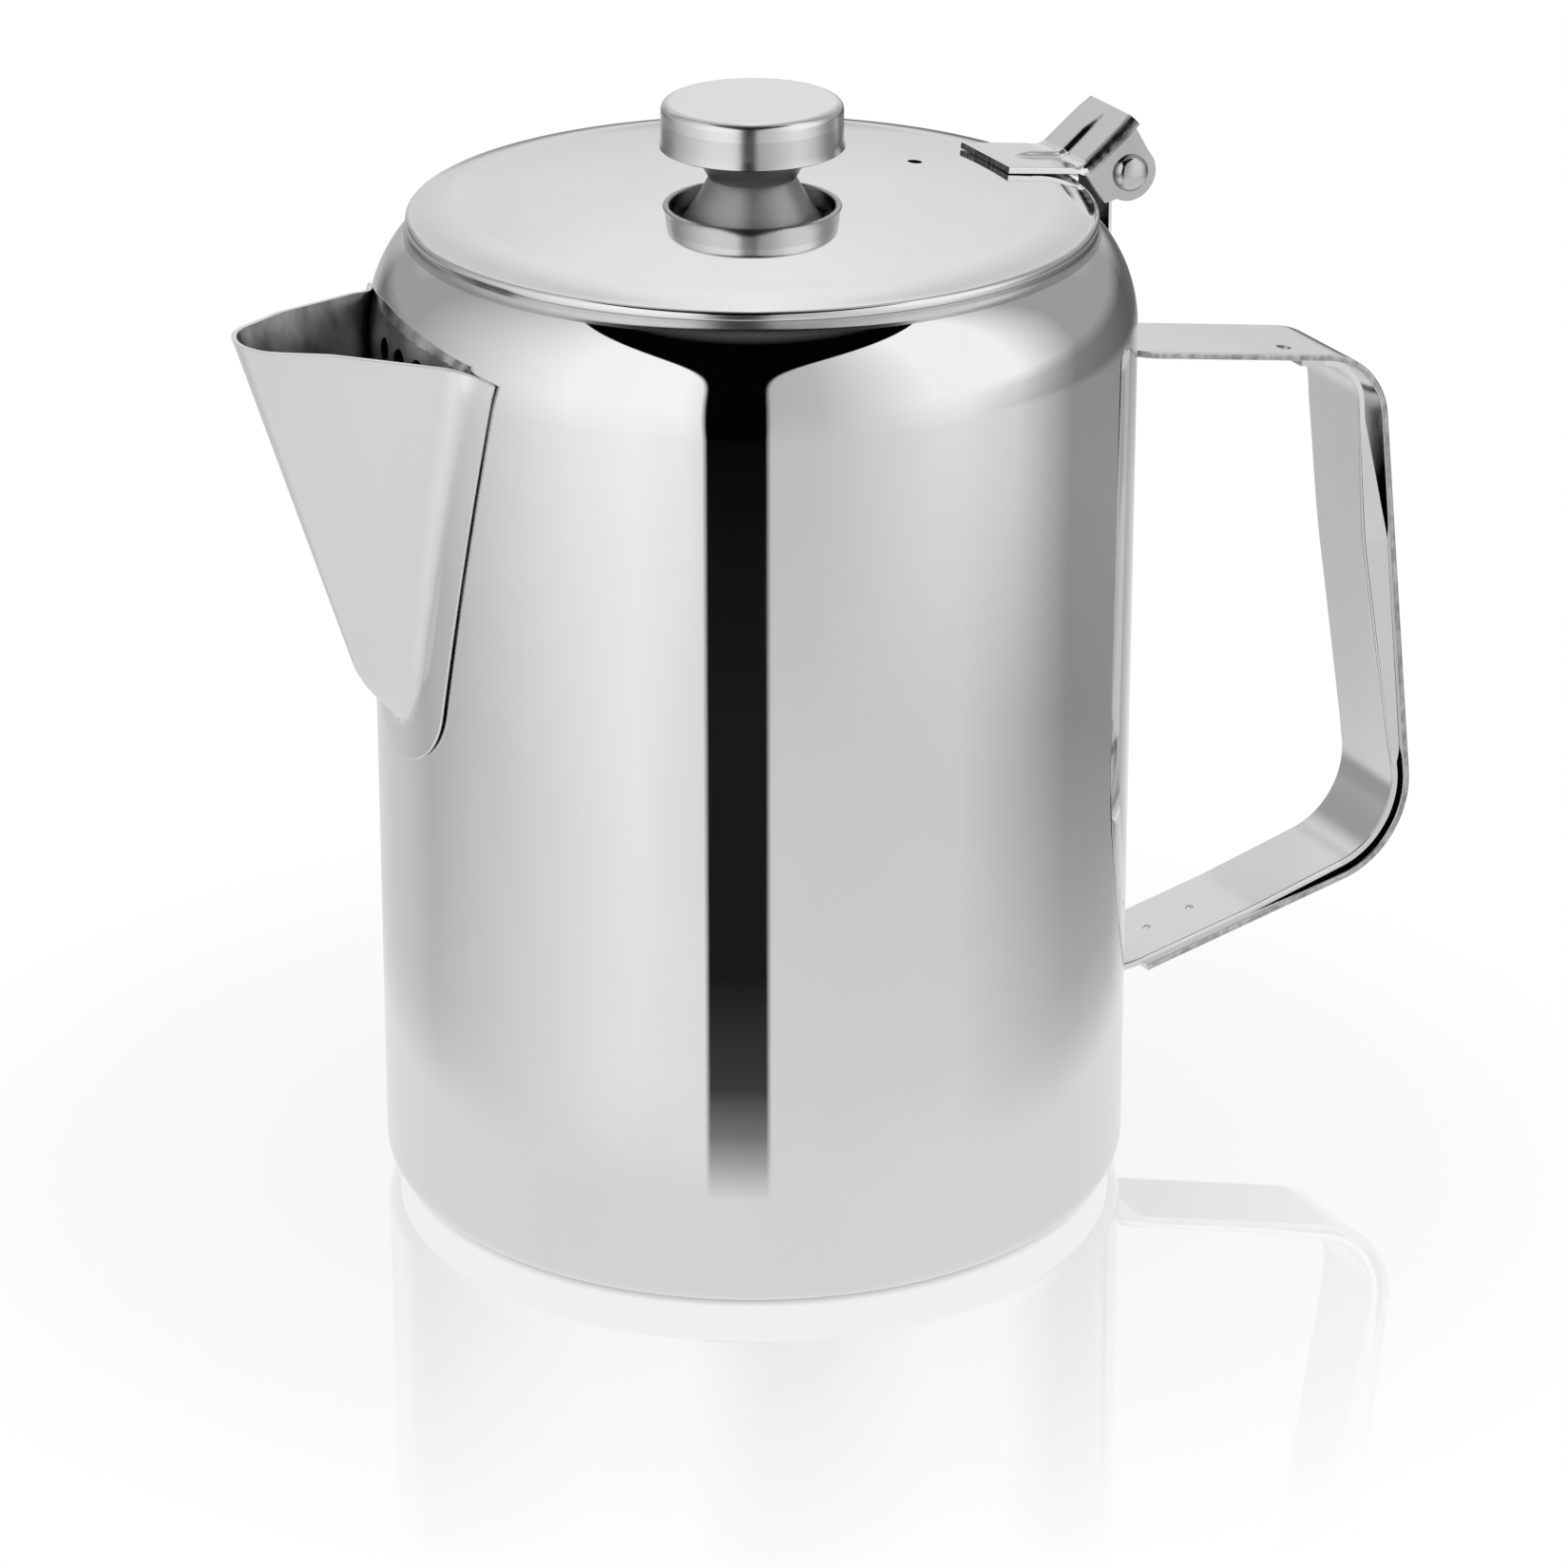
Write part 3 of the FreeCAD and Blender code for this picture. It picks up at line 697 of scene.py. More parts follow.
def make_inner_strap():
    stacked = 2 * strap_sheet
    split = (liner_split, lower_run_height(liner_split, stacked))
    root = (body_radius, lower_run_height(body_radius, stacked))
    tab_end = (body_radius, root[1] - tab_length)
    start = (liner_start, line_height(top_root, top_corner, liner_start, -strap_sheet) - strap_sheet)
    corners = [start, grip_corner, grip_knee, grip_heel, split, root, tab_end]
    bends = [8.0, 150.0, 14.0, 60.0, tab_bend + strap_sheet]
    path = [(x, z, -right_x, -right_z, far) for x, z, right_x, right_z, far
            in stations(rounded(corners, bends, 40), 0.5)]
    thick = strap_sheet

    def section(station):
        """A flat strip; on the grip its sides slant out and down to meet the outer strap."""
        x, z = station[:2]
        half = plan_half_width(x, inner_half_width)
        depth = max(thick, flange_depth(x, z) if x > liner_split else 0.0)
        share = min(1.0, (depth - thick) / flange_soft_depth)
        slant = flange_slant * (depth - thick)
        crease, edge = half - slant * 0.75, half + slant * 0.25
        soft = strap_edge_round + (flange_soft_bend - strap_edge_round) * share
        corner = rounded([(edge, depth), (crease, 0), (0, 0)], [soft], 6)
        outside = [(-y, d) for y, d in corner[:-1]] + [(0, 0)] + list(reversed(corner[:-1]))
        lip = [(edge - thick * share - 0.01, depth), (crease - thick * share - 0.01, thick)]
        return outside + lip + [(0, thick)] + mirrored(lip)

    strap = sweep("inner_strap", path, section)
    pits = []
    for reach in weld_pits:
        pits.append(ball(weld_pit_radius, (reach, 0, lower_run_height(reach, stacked) + weld_pit_lift)))
    return cut(strap, pits)


# ---- lid
def dome_height(reach):
    return lid_crown - dome_sphere_radius + math.sqrt(dome_sphere_radius ** 2 - reach ** 2)


def lid_top(drop):
    """The lid's upper face from the knob seat to the edge band, lowered by drop."""
    lip_top = lid_bottom + lid_lip
    points = [(0.0, dome_height(knob_seat) - drop), (knob_seat * 0.7, dome_height(knob_seat) - drop)]
    reaches = [knob_seat + (dome_radius - knob_seat) * step / 40 for step in range(41)]
    points += [(reach, dome_height(reach) - drop) for reach in reaches]
    start = points[-1]
    end = (lid_radius - lid_edge_round, lip_top + lid_edge_round - drop)
    for step in range(1, 13):
        share = step / 12
        sag = lid_sag * 4 * share * (1 - share)
        points.append((start[0] + (end[0] - start[0]) * share, start[1] + (end[1] - start[1]) * share + sag))
    return points


def make_lid():
    lip_top = lid_bottom + lid_lip
    outside = lid_top(0)
    outside += arc((lid_radius - lid_edge_round, lip_top), lid_edge_round, 90, 0, 8)[1:]
    outside += arc((lid_radius - lid_lip_round, lid_bottom + lid_lip_round), lid_lip_round, 0, -90, 4)
    skirt_inner = skirt_radius - lid_sheet
    skirt = [(skirt_radius + skirt_round, lid_bottom), (skirt_radius, lid_bottom - skirt_round)]
    skirt += arc((skirt_radius - skirt_round, skirt_bottom + skirt_round), skirt_round, 0, -180, 8)
    skirt += [(skirt_inner, lid_bottom + lid_lip)]
    inside = [point for point in lid_top(lid_sheet) if point[0] < skirt_inner - 0.3]
    lid = lathe("lid", outside + skirt + inside[::-1], 288, 28.0)
    vent = rod(vent_radius, (vent_distance, 0, lid_bottom), (vent_distance, 0, lid_crown + 3))
    return cut(lid, [vent], 28.0)


# ---- knob
def make_knob_cap():
    inner = knob_radius - knob_sheet
    centre = (knob_radius - knob_round - knob_taper, knob_top - knob_round)
    outside = [(reach, knob_top) for reach in (0.0, 4.0, 8.0, 11.0)]
    outside += arc(centre, knob_round, 90, 0, 14)
    outside += [(knob_radius - knob_taper, knob_top - knob_band), (knob_radius - 0.22, knob_bottom + 1.6),
                (knob_radius - 0.12, knob_bottom + 0.7), (knob_radius, knob_bottom + 0.15),
                (knob_radius - 0.15, knob_bottom)]
    inside = [(inner + 0.1, knob_bottom), (inner - 0.1, knob_bottom + 0.2)]
    inside += arc(centre, knob_round - knob_sheet, 0, 90, 8)
    inside += [(0.0, knob_top - knob_sheet)]
    return lathe("knob_top_cap", outside + inside, 192, 30.0)


def make_knob_stem():
    """A pressed cup standing on the lid and widening up to the underside of the cap."""
    foot = dome_height(knob_seat)
    top = knob_top - knob_sheet
    corners = [(stem_foot_radius, foot), stem_waist, stem_shoulder, (stem_shoulder[0], top)]
    outside = [(0.0, foot)] + rounded(corners, [2.0, 0.8], 6)
    inside = [(stem_shoulder[0] - stem_wall, top), (stem_waist[0] - stem_wall, stem_waist[1]),
              (stem_foot_radius - stem_wall, foot + knob_sheet), (0.0, foot + knob_sheet)]
    return lathe("knob_stem_cup", outside + inside, 192, 30.0)


# ---- hinge
def leaf_lift(travelled, across, fold_at):
    """Height of the pressed rib that runs over the fold."""
    reach = abs(travelled - fold_at) / rib_reach
    if reach >= 1.0:
        return 0.0
    half = rib_half_width * math.sqrt(1 - reach ** 2) + 0.01
    side = min(1.0, abs(across) / half)
    return rib_height * (1 - smooth_step(0.5, 1.0, reach)) * (1 - smooth_step(0.1, 1.0, side))


def seen_from_lever(x, z):
    """Distance from the fold along the lever, and depth below the lever's face."""
    up = heading(leaf_fold, lever_end)
    x, z = x - leaf_fold[0], z - leaf_fold[1]
    return x * up[0] + z * up[1], x * up[1] - z * up[0]


def ear_depth(travelled):
    """How deep an ear hangs below the lever's face, at a distance from the fold along the lever."""
    middle, deep = seen_from_lever(*pivot)
    for corner, side in ((0.0, -1), (math.dist(leaf_fold, lever_end) - ear_inset, 1)):
        reach = math.hypot(corner - middle, deep)
        lean = math.asin(abs(corner - middle) / reach) - math.asin(ear_radius / reach)
        tangent = middle + side * ear_radius * math.cos(lean)
        tangent_deep = deep + ear_radius * math.sin(-lean)
        if (travelled - tangent) * side > 0:
            share = (travelled - corner) / (tangent - corner)
            return max(0.0, tangent_deep * share)
    return deep + math.sqrt(max(0.0, ear_radius ** 2 - (travelled - middle) ** 2))


def leaf_stations():
    """Stations along the leaf and the lever, close together where the ears start and end."""
    path = stations(rounded([leaf_front, leaf_fold, lever_end], [leaf_bend], 30), 0.25)
    total = path[-1][4]
    up = heading(leaf_fold, lever_end)
    length = math.dist(leaf_fold, lever_end)

    def place(along_lever):
        x, z = along(leaf_fold, up, along_lever)
        return (x, z, up[1], -up[0], total - length + along_lever)

    straight_from = leaf_bend * math.tan(math.radians(12.0))
    curved = [station for station in path if station[4] < total - length + straight_from]
    marks = [straight_from + (length - straight_from) * step / 90 for step in range(91)]
    return curved + [place(mark) for mark in marks if mark > straight_from + 0.01], total - length


def make_leaf():
    path, lever_start = leaf_stations()
    total = path[-1][4]
    fold_at = math.dist(leaf_front, leaf_fold)

    def section(station):
        travelled = station[4]
        rolled = smooth_step(-ear_roll_length, 0.4, travelled - lever_start)
        soft = 0.25 + (ear_fold_round - 0.25) * rolled
        depth = max(hinge_sheet, soft) + 0.02
        if travelled > lever_start:
            depth = max(depth, ear_depth(travelled - lever_start))
        narrow = smooth_step(total - 3.0, total, travelled)
        half = leaf_half_width - (leaf_half_width - lever_half_width) * narrow
        span = half - soft - 0.02
        across = [span - 2 * span * step / 60 for step in range(61)]
        top = [(y, -leaf_lift(travelled, y, fold_at)) for y in across]
        corner = arc((half - soft, soft), soft, 0, -90, 6)
        bend = max(0.0, min(soft, depth) - hinge_sheet - 0.01)
        wall = half - hinge_sheet
        inner = arc((wall - bend, hinge_sheet + bend), bend, -90, 0, 4)
        floor = wall - bend
        under = [(floor * (2 * step / 40 - 1), hinge_sheet) for step in range(1, 40)]
        under = [(y, d - leaf_lift(travelled, y, fold_at)) for y, d in under]
        right = inner + [(wall, depth), (half, depth)] + corner
        return top + mirrored(right) + under + right

    leaf = sweep("leaf", path, section, 35.0)
    hole = rod(pin_radius + 0.05, (pivot[0], -20, pivot[1]), (pivot[0], 20, pivot[1]))
    return cut(leaf, [hole], 35.0)


def make_bracket():
    """A tongue that stands on the shoulder and curls round the pin, with its weld foot."""
    front = pivot[0] - knuckle_radius
    curl = arc(pivot, knuckle_radius, 180, -140, 60)
    path = stations([(front, bracket_foot + 0.3)] + curl, 0.2)

    def section(station):
        half, sheet, r = bracket_half_width, bracket_sheet, bracket_edge_round
        side = arc((half - r, r), r, -90, 0, 2) + arc((half - r, sheet - r), r, 0, 90, 2)
        right = [(half * 0.5, 0)] + side
        return [(0, 0)] + right + [(0, sheet)] + mirrored(right)

    tongue = sweep("tongue", path, section)
    return join("bracket", [tongue, make_weld_plate()])


def make_weld_plate():
    """A thin rounded plate lying on the shoulder, with two spot-weld dimples."""
    rows, columns = 24, 48
    vertices = []
    for layer in (0.0, bracket_sheet):
        for row in range(rows + 1):
            height = bracket_foot + (bracket_weld_top - bracket_foot) * row / rows
            share = min(1.0, (height - bracket_foot) / 2.5)
            half = bracket_half_width - 2.5 + 2.5 * math.sqrt(1 - (1 - share) ** 2) - 0.02
            angle = math.asin((height - shoulder_start) / shoulder_radius)
            for column in range(columns + 1):
                y = -half + 2 * half * column / columns
                gap = math.hypot(abs(y) - weld_dimple[0], (height - weld_dimple[1]) / math.cos(angle))
                dimple = 0.35 * (1 - smooth_step(0.2, 1.1, gap)) if layer else 0.0
                radius = shoulder_radius + layer - dimple
                reach = body_radius - shoulder_radius + radius * math.cos(angle)
                x = math.sqrt(max(0.0, reach ** 2 - y ** 2))
                vertices.append((x, y, shoulder_start + radius * math.sin(angle)))
    per_layer = (rows + 1) * (columns + 1)
    faces = []
    for row in range(rows):
        for column in range(columns):
            low = row * (columns + 1) + column
            square = [low, low + 1, low + columns + 2, low + columns + 1]
            faces.append(square)
            faces.append([index + per_layer for index in reversed(square)])
    rim = list(range(columns))
    rim += [columns + row * (columns + 1) for row in range(rows)]
    rim += [rows * (columns + 1) + column for column in range(columns, 0, -1)]
    rim += [row * (columns + 1) for row in range(rows, 0, -1)]
    for a, b in zip(rim, rim[1:] + rim[:1]):
        faces.append([a, b, b + per_layer, a + per_layer])
    return new_piece("weld_plate", vertices, faces, 40.0)


def make_rivet():
    """Hinge pin with a domed head outside each ear."""
    seat = leaf_half_width + 0.1
    head = rivet_high.y - seat
    profile = [(0.0, 0.0), (pin_radius, 0.0), (pin_radius, seat), (rivet_head_radius - rivet_edge, seat),
               (rivet_head_radius, seat + rivet_edge)]
    for step in range(1, 15):
        angle = math.radians(90 * step / 14)
        reach = rivet_head_radius * math.cos(angle) ** 0.9 if step < 14 else 0.0
        profile.append((reach, seat + rivet_edge + (head - rivet_edge) * math.sin(angle)))
    halves = []
    for side in (-1, 1):
        half = lathe("rivet_half", profile, 64, 40.0)
        for vertex in half.data.vertices:
            x, y, z = vertex.co
            vertex.co = (pivot[0] * MM + x, side * z, pivot[1] * MM + y)
        tidy_mesh(half, 40.0)
        halves.append(half)
    return join("rivet", halves)


# ---- materials
def material(name):
    paint = bpy.data.materials.new(name)
    paint.use_nodes = True
    return paint, paint.node_tree, paint.node_tree.nodes["Principled BSDF"]


def feed(tree, node, inputs):
    """Sets a node's inputs: a number or colour as it is, another node's output by a link."""
    for key, value in inputs.items():
        if isinstance(value, bpy.types.NodeSocket):
            tree.links.new(value, node.inputs[key])
        else:
            node.inputs[key].default_value = value


def add(tree, kind, inputs=None, **settings):
    node = tree.nodes.new(kind)
    for key, value in settings.items():
        setattr(node, key, value)
    feed(tree, node, inputs or {})
    return node


def ramp(tree, share, stops):
    """A colour that follows a share from 0 to 1, in straight lines between the stops."""
    node = add(tree, "ShaderNodeValToRGB", {"Fac": share})
    elements = node.color_ramp.elements
    elements.remove(elements[1])
    for index, (position, colour) in enumerate(stops):
        element = elements.new(position) if index else elements[0]
        element.position = position
        element.color = (*colour, 1)
    return node.outputs["Color"]


def grey(level):
    return (level, level * 1.003, level * 1.01)


def noise(tree, place, scale, stretch=(1, 1, 1), detail=4.0):
    mapping = add(tree, "ShaderNodeMapping", {"Vector": place.outputs["Object"], "Scale": stretch})
    texture = add(tree, "ShaderNodeTexNoise", {
        "Vector": mapping.outputs["Vector"], "Scale": scale, "Detail": detail, "Roughness": 0.55})
    return texture.outputs["Fac"]


def ranged(tree, value, start, end, low=0.0, high=1.0):
    """Goes from low to high while the value goes from start to end."""
    spread = add(tree, "ShaderNodeMapRange", {
        "Value": value, "From Min": start, "From Max": end, "To Min": low, "To Max": high})
    return spread.outputs["Result"]


def steel_material(name, light, dark, gloss, smudge, grain, grain_stretch, grain_depth, blotch=28.0):
    """Stainless steel: colour drifts, smudges in the gloss and a fine grain."""
    steel, tree, shader = material(name)
    place = add(tree, "ShaderNodeTexCoord")
    drift = noise(tree, place, blotch, (1, 1, 0.6))
    patches = noise(tree, place, 45.0, (1, 1, 0.7), 6.0)
    height = noise(tree, place, grain, grain_stretch, 3.0)
    bump = add(tree, "ShaderNodeBump", {"Height": height, "Distance": grain_depth * MM, "Strength": 1.0})
    feed(tree, shader, {
        "Metallic": 1.0,
        "Base Color": ramp(tree, drift, [(0.35, grey(dark)), (0.65, grey(light))]),
        "Roughness": ranged(tree, patches, 0.4, 0.75, gloss, gloss + smudge),
        "Normal": bump.outputs["Normal"]})
    return steel


def make_materials():
    """Name, lightest and darkest grey, gloss, smudge, grain's scale, stretch and depth, and blotch scale."""
    even, drawn, turned = (1, 1, 1), (1, 1, 0.15), (0.04, 0.04, 1)
    finishes = {
        "body": ("body_steel", 0.80, 0.775, 0.015, 0.03, 900.0, drawn, 0.0004),
        "mirror": ("mirror_steel", 0.80, 0.76, 0.03, 0.05, 900.0, drawn, 0.0006),
        "rolled": ("rolled_steel", 0.78, 0.72, 0.09, 0.08, 1500.0, even, 0.0015),
        "soft": ("soft_polish", 0.80, 0.74, 0.16, 0.08, 1500.0, turned, 0.002),
        "brushed": ("brushed_steel", 0.74, 0.60, 0.15, 0.10, 2200.0, drawn, 0.006),
        "rivet": ("rivet_steel", 0.66, 0.44, 0.10, 0.12, 1500.0, even, 0.004, 160.0),
        # Painted shade: the knob's stem, under the cap, is given a darker base colour.
        "stem": ("stem_shade_steel", 0.64, 0.42, 0.34, 0.10, 1200.0, drawn, 0.003),
        # Painted shade: the ears' outer faces get a darker base colour in place of a darker reflection.
        "ear": ("ear_shade_steel", 0.52, 0.42, 0.10, 0.10, 1500.0, even, 0.0015),
        "satin": ("satin_steel", 0.60, 0.48, 0.17, 0.08, 1500.0, turned, 0.003),
        # Rough edge finish with a lighter base colour, which paints a highlight along the sheet edges.
        "edge": ("rough_edge_and_highlight", 0.92, 0.82, 0.38, 0.15, 2600.0, even, 0.01),
        # Darker steel for the straps' sheared sides, also painted shade on the leaf's and ears' inner faces.
        "sheared_and_shaded": ("sheared_edge_and_shade", 0.56, 0.30, 0.26, 0.16, 2600.0, even, 0.012, 700.0),
        # Blotchy steel with a dark base: painted shade inside the spout and in the ears' rolled folds.
        "blotchy_shade": ("blotchy_shade_steel", 0.58, 0.20, 0.24, 0.14, 700.0, even, 0.008, 120.0),
        # Near-black steel: painted shade in the middle of the ears' folds and on the leaf's front edge.
        "fold_and_edge_shade": ("fold_and_edge_shade_steel", 0.22, 0.03, 0.26, 0.20, 2200.0, even, 0.02, 900.0),
        # Black steel: painted shade on the hinge tongue's front face.
        "black_shade": ("black_shade_steel", 0.035, 0.015, 0.25, 0.15, 700.0, even, 0.01, 300.0),
    }
    return {kind: steel_material(*numbers) for kind, numbers in finishes.items()}


# ---- choosers, by the centre of a face in millimetres and its normal
def everywhere(spot, normal):
    return True


def inside_pot(spot, normal):
    inward = spot.x * normal.x + spot.y * normal.y < 0
    on_base = normal.z > 0.5 and spot.z < base_corner_radius
    return spot.z > base_recess + body_wall / 2 and (inward or on_base)


def on_neck(spot, normal):
    return spot.z > neck_satin_from and math.hypot(spot.x, spot.y) > neck_radius - body_wall / 2


# Picks the wall behind the spout, which is painted darker as shade inside the spout.
def behind_spout(spot, normal):
    """The part of the pot's wall that the spout covers, below the pouring rim."""
    if spot.x > -spout_corner[0] or not spout_heel_height - 8.0 < spot.z < spout_tip_height + 2.0:
        return False
    half_width = body_radius * math.sin(crease_angle(spot.z)) + 0.6
    return abs(spot.y) < half_width and spot.z < rim_height(-spot.x, spot.y) - 0.3


def facing_sideways(spot, normal):
    return abs(normal.y) > 0.8


# Picks the tongue's front face, which is painted black as shade.
def on_tongue_front(spot, normal):
    return normal.x < -0.6 and spot.z > bracket_foot and spot.x > pivot[0] - knuckle_radius - 0.05


def on_foot_rim(spot, normal):
    return spot.z < bracket_weld_top + 0.1 and spot.x < pivot[0] and normal.x < 0.45


def in_foot_dimple(spot, normal):
    gap = math.dist((abs(spot.y), spot.z), weld_dimple)
    return gap < 1.0 and spot.x < pivot[0] - knuckle_radius


def under_leaf(spot, normal):
    """The leaf's and the ears' inner faces, where shade is painted, and its sheared ends."""
    inner_ear = abs(normal.y) > 0.9 and spot.y * normal.y < 0
    return inner_ear or normal.z < -0.3 or normal.x < -0.9


def on_ear(spot, normal):
    """The outer face of each ear."""
    return spot.y * normal.y > 0 and abs(normal.y) > 0.95 and spot.x > leaf_fold[0]


def on_ear_fold(spot, normal):
    """The rolled corner between the lever and each ear."""
    travelled, depth = seen_from_lever(spot.x, spot.z)
    rolled = 0.04 < depth < ear_fold_round and abs(spot.y) > leaf_half_width - ear_fold_round
    return rolled and travelled > 0.3 and abs(normal.y) > 0.12 and spot.y * normal.y > 0


def on_fold_middle(spot, normal):
    return on_ear_fold(spot, normal) and 0.4 < abs(normal.y) < 0.97


def on_leaf_front(spot, normal):
    return normal.x < -0.8 and spot.x < leaf_front[0] + 0.5


def under_lid(spot, normal):
    return normal.z < -0.3 or spot.z < lid_bottom - 0.1


def on_lid_rim(spot, normal):
    return spot.z < lid_bottom + lid_lip + 0.35 and math.hypot(spot.x, spot.y) > skirt_radius + 0.2


def on_knob_side(spot, normal):
    return spot.z < knob_top - knob_band


def on_knob_edge(spot, normal):
    """The rounded upper rim of the knob."""
    return spot.z >= knob_top - knob_band and math.hypot(spot.x, spot.y) > knob_radius - knob_round - 1.0


def dress(piece, finishes):
    """Gives a piece its materials, each on the faces that its chooser picks; the last to pick wins.

    Without a chooser a material stays on the faces that already have its number.
    """
    for index, (finish, chooser) in enumerate(finishes):
        piece.data.materials.append(finish)
        for polygon in piece.data.polygons:
            if chooser and chooser(polygon.center / MM, polygon.normal):
                polygon.material_index = index


# ---- stage
def make_world():
    """A white studio with a dark gap towards the camera and a dark ceiling above it."""
    world = bpy.data.worlds.new("studio")
    bpy.context.scene.world = world
    world.use_nodes = True
    tree = world.node_tree
    background = tree.nodes["Background"]
    place = add(tree, "ShaderNodeTexCoord")
    turn = add(tree, "ShaderNodeVectorRotate", rotation_type="Z_AXIS", inputs={
        "Vector": place.outputs["Generated"], "Angle": math.radians(90.0 - camera_heading)})
    split = add(tree, "ShaderNodeSeparateXYZ", {"Vector": turn.outputs["Vector"]})

    def degrees_ramp(source, span, stops, peak=1.0):
        """A level by an angle in degrees, from -span to span, as a share of the peak level."""
        share = ranged(tree, source, -math.radians(span), math.radians(span))
        shares = [((angle + span) / (2 * span), (level / peak,) * 3) for angle, level in stops]
        return ramp(tree, share, shares)

    def combine(kind, first, second=0.0):
        return add(tree, "ShaderNodeMath", {0: first, 1: second}, operation=kind).outputs[0]

    def blend(share, first, second):
        colour = (second,) * 3 + (1,) if isinstance(second, float) else second
        mix = add(tree, "ShaderNodeMixRGB", {"Fac": share, "Color1": first, "Color2": colour})
        return mix.outputs["Color"]

    around = combine("ARCTAN2", split.outputs["Y"], split.outputs["X"])
    aside = combine("ABSOLUTE", around)
    up = combine("ARCSINE", split.outputs["Z"])

    def height_ramp(stops, peak=1.0):
        return degrees_ramp(up, 90, stops, peak)

    low_walls = degrees_ramp(around, 180, [
        (-180, 0.7), (-120, 0.6), (-45, 0.9), (-15, 0.9), (5, 0.8), (65, 0.8), (120, 0.6),
        (180, 0.7)], studio_peak)
    walls = degrees_ramp(around, 180, [
        (-180, 0.8), (-130, 0.65), (-115, 0.5), (-35, 1.0), (5, 0.7), (65, 0.7), (110, 0.3), (145, 0.3),
        (168, 0.85), (180, 0.8)], studio_peak)
    high_walls = degrees_ramp(around, 180, [
        (-180, 0.4), (-120, 0.4), (-55, 1.1), (-20, 1.15), (5, 0.55), (20, 0.6), (55, 1.1), (85, 1.1),
        (110, 0.4), (180, 0.4)], studio_peak)
    sides = blend(height_ramp([(-25.5, 0.0), (-21, 1.0)]), low_walls, walls)
    sides = blend(height_ramp([(-21.5, 0.0), (-18, 0.55), (5, 1.0)]), sides, high_walls)
    sides = blend(height_ramp([(-38, 1.0), (-30, 0.0)]), sides, 0.80 / studio_peak)
    dark_corner = degrees_ramp(around, 180, [
        (-180, 0.8), (-170, 0.0), (-160, 0.0), (-150, 0.7), (-130, 0.6), (-110, 0.0), (65, 0.0),
        (90, 0.3), (115, 0.5), (150, 0.9), (180, 0.8)])
    corner_band = height_ramp([(-19, 0.0), (-14, 1.0), (-3, 1.0), (4, 0.0)])
    sides = blend(combine("MULTIPLY", dark_corner, corner_band), sides, 0.09 / studio_peak)

    straight_back = degrees_ramp(aside, 180, [(155, 0.0), (165, 0.2), (173, 0.8), (180, 1.0)])
    climb = height_ramp([(-5, 0.0), (15, 0.5), (42, 1.0)])
    back_walls = degrees_ramp(around, 180, [
        (-158, 0.66), (-142, 0.90), (-120, 0.90), (120, 0.80), (150, 0.66)], studio_peak)
    rear = blend(combine("MULTIPLY", straight_back, climb), back_walls, 1.06 / studio_peak)
    behind = degrees_ramp(aside, 180, [(132, 0.0), (150, 1.0)])
    wide_back = degrees_ramp(aside, 180, [(151, 0.0), (162, 1.0)])
    back_share = combine("MAXIMUM", combine("MULTIPLY", wide_back, height_ramp([(-6, 0.0), (2, 1.0)])),
                         combine("MULTIPLY", behind, height_ramp([(13, 0.0), (25, 1.0)])))
    room = blend(back_share, sides, rear)

    flare = combine("POWER", height_ramp([(flare_start, 0.0), (flare_end, 1.0)]), 4.0)
    flared = combine("MULTIPLY", flare, math.radians(gap_flare))
    half_gap = combine("ADD", flared, math.radians(gap_half_width))
    off_gap = combine("ABSOLUTE", combine("ADD", around, -math.radians(gap_centre)))
    edge = math.radians(gap_softness)
    beside_gap = ranged(tree, combine("SUBTRACT", off_gap, half_gap), -edge, edge)
    below_gap = height_ramp([(-33, 1.0), (-29, 0.0)])
    rays = add(tree, "ShaderNodeLightPath")
    seen_in_table = combine("MULTIPLY", combine("GREATER_THAN", rays.outputs["Ray Depth"], 2.5),
                            height_ramp([(-6, 0.0), (0, 1.0), (28, 1.0), (32, 0.0)]))
    open_side = combine("MAXIMUM", beside_gap, combine("MAXIMUM", below_gap, seen_in_table))
    gap_level = height_ramp([(-21, 0.012), (-18, 0.001), (62, 0.001), (74, 0.12), (90, 0.18)], studio_peak)
    seen = blend(rays.outputs["Is Camera Ray"], blend(open_side, gap_level, room), 1.0)
    feed(tree, background, {"Color": seen, "Strength": studio_peak})


def disc(name, radius, height):
    mesh = bpy.data.meshes.new(name)
    work = bmesh.new()
    bmesh.ops.create_circle(work, cap_ends=True, segments=128, radius=radius)
    work.to_mesh(mesh)
    work.free()
    piece = bpy.data.objects.new(name, mesh)
    piece.location.z = height
    bpy.context.scene.collection.objects.link(piece)
    return piece


def radial_ramp(tree, stops):
    """Level by distance from the pot's axis, in metres."""
    place = add(tree, "ShaderNodeTexCoord")
    length = add(tree, "ShaderNodeVectorMath", {0: place.outputs["Object"]}, operation="LENGTH")
    span = stops[-1][0]
    share = ranged(tree, length.outputs["Value"], 0.0, span)
    return ramp(tree, share, [(distance / span, (level,) * 3) for distance, level in stops])


def table_layer(name, radius, height, paint_name, below, above, stops):
    """A disc that goes from one shader to another by distance from the pot's axis."""
    layer = disc(name, radius, height)
    paint, tree, shader = material(paint_name)
    tree.nodes.remove(shader)
    mix = add(tree, "ShaderNodeMixShader", {"Fac": radial_ramp(tree, stops), 1: below(tree), 2: above(tree)})
    feed(tree, tree.nodes["Material Output"], {"Surface": mix.outputs["Shader"]})
    layer.data.materials.append(paint)
    return layer


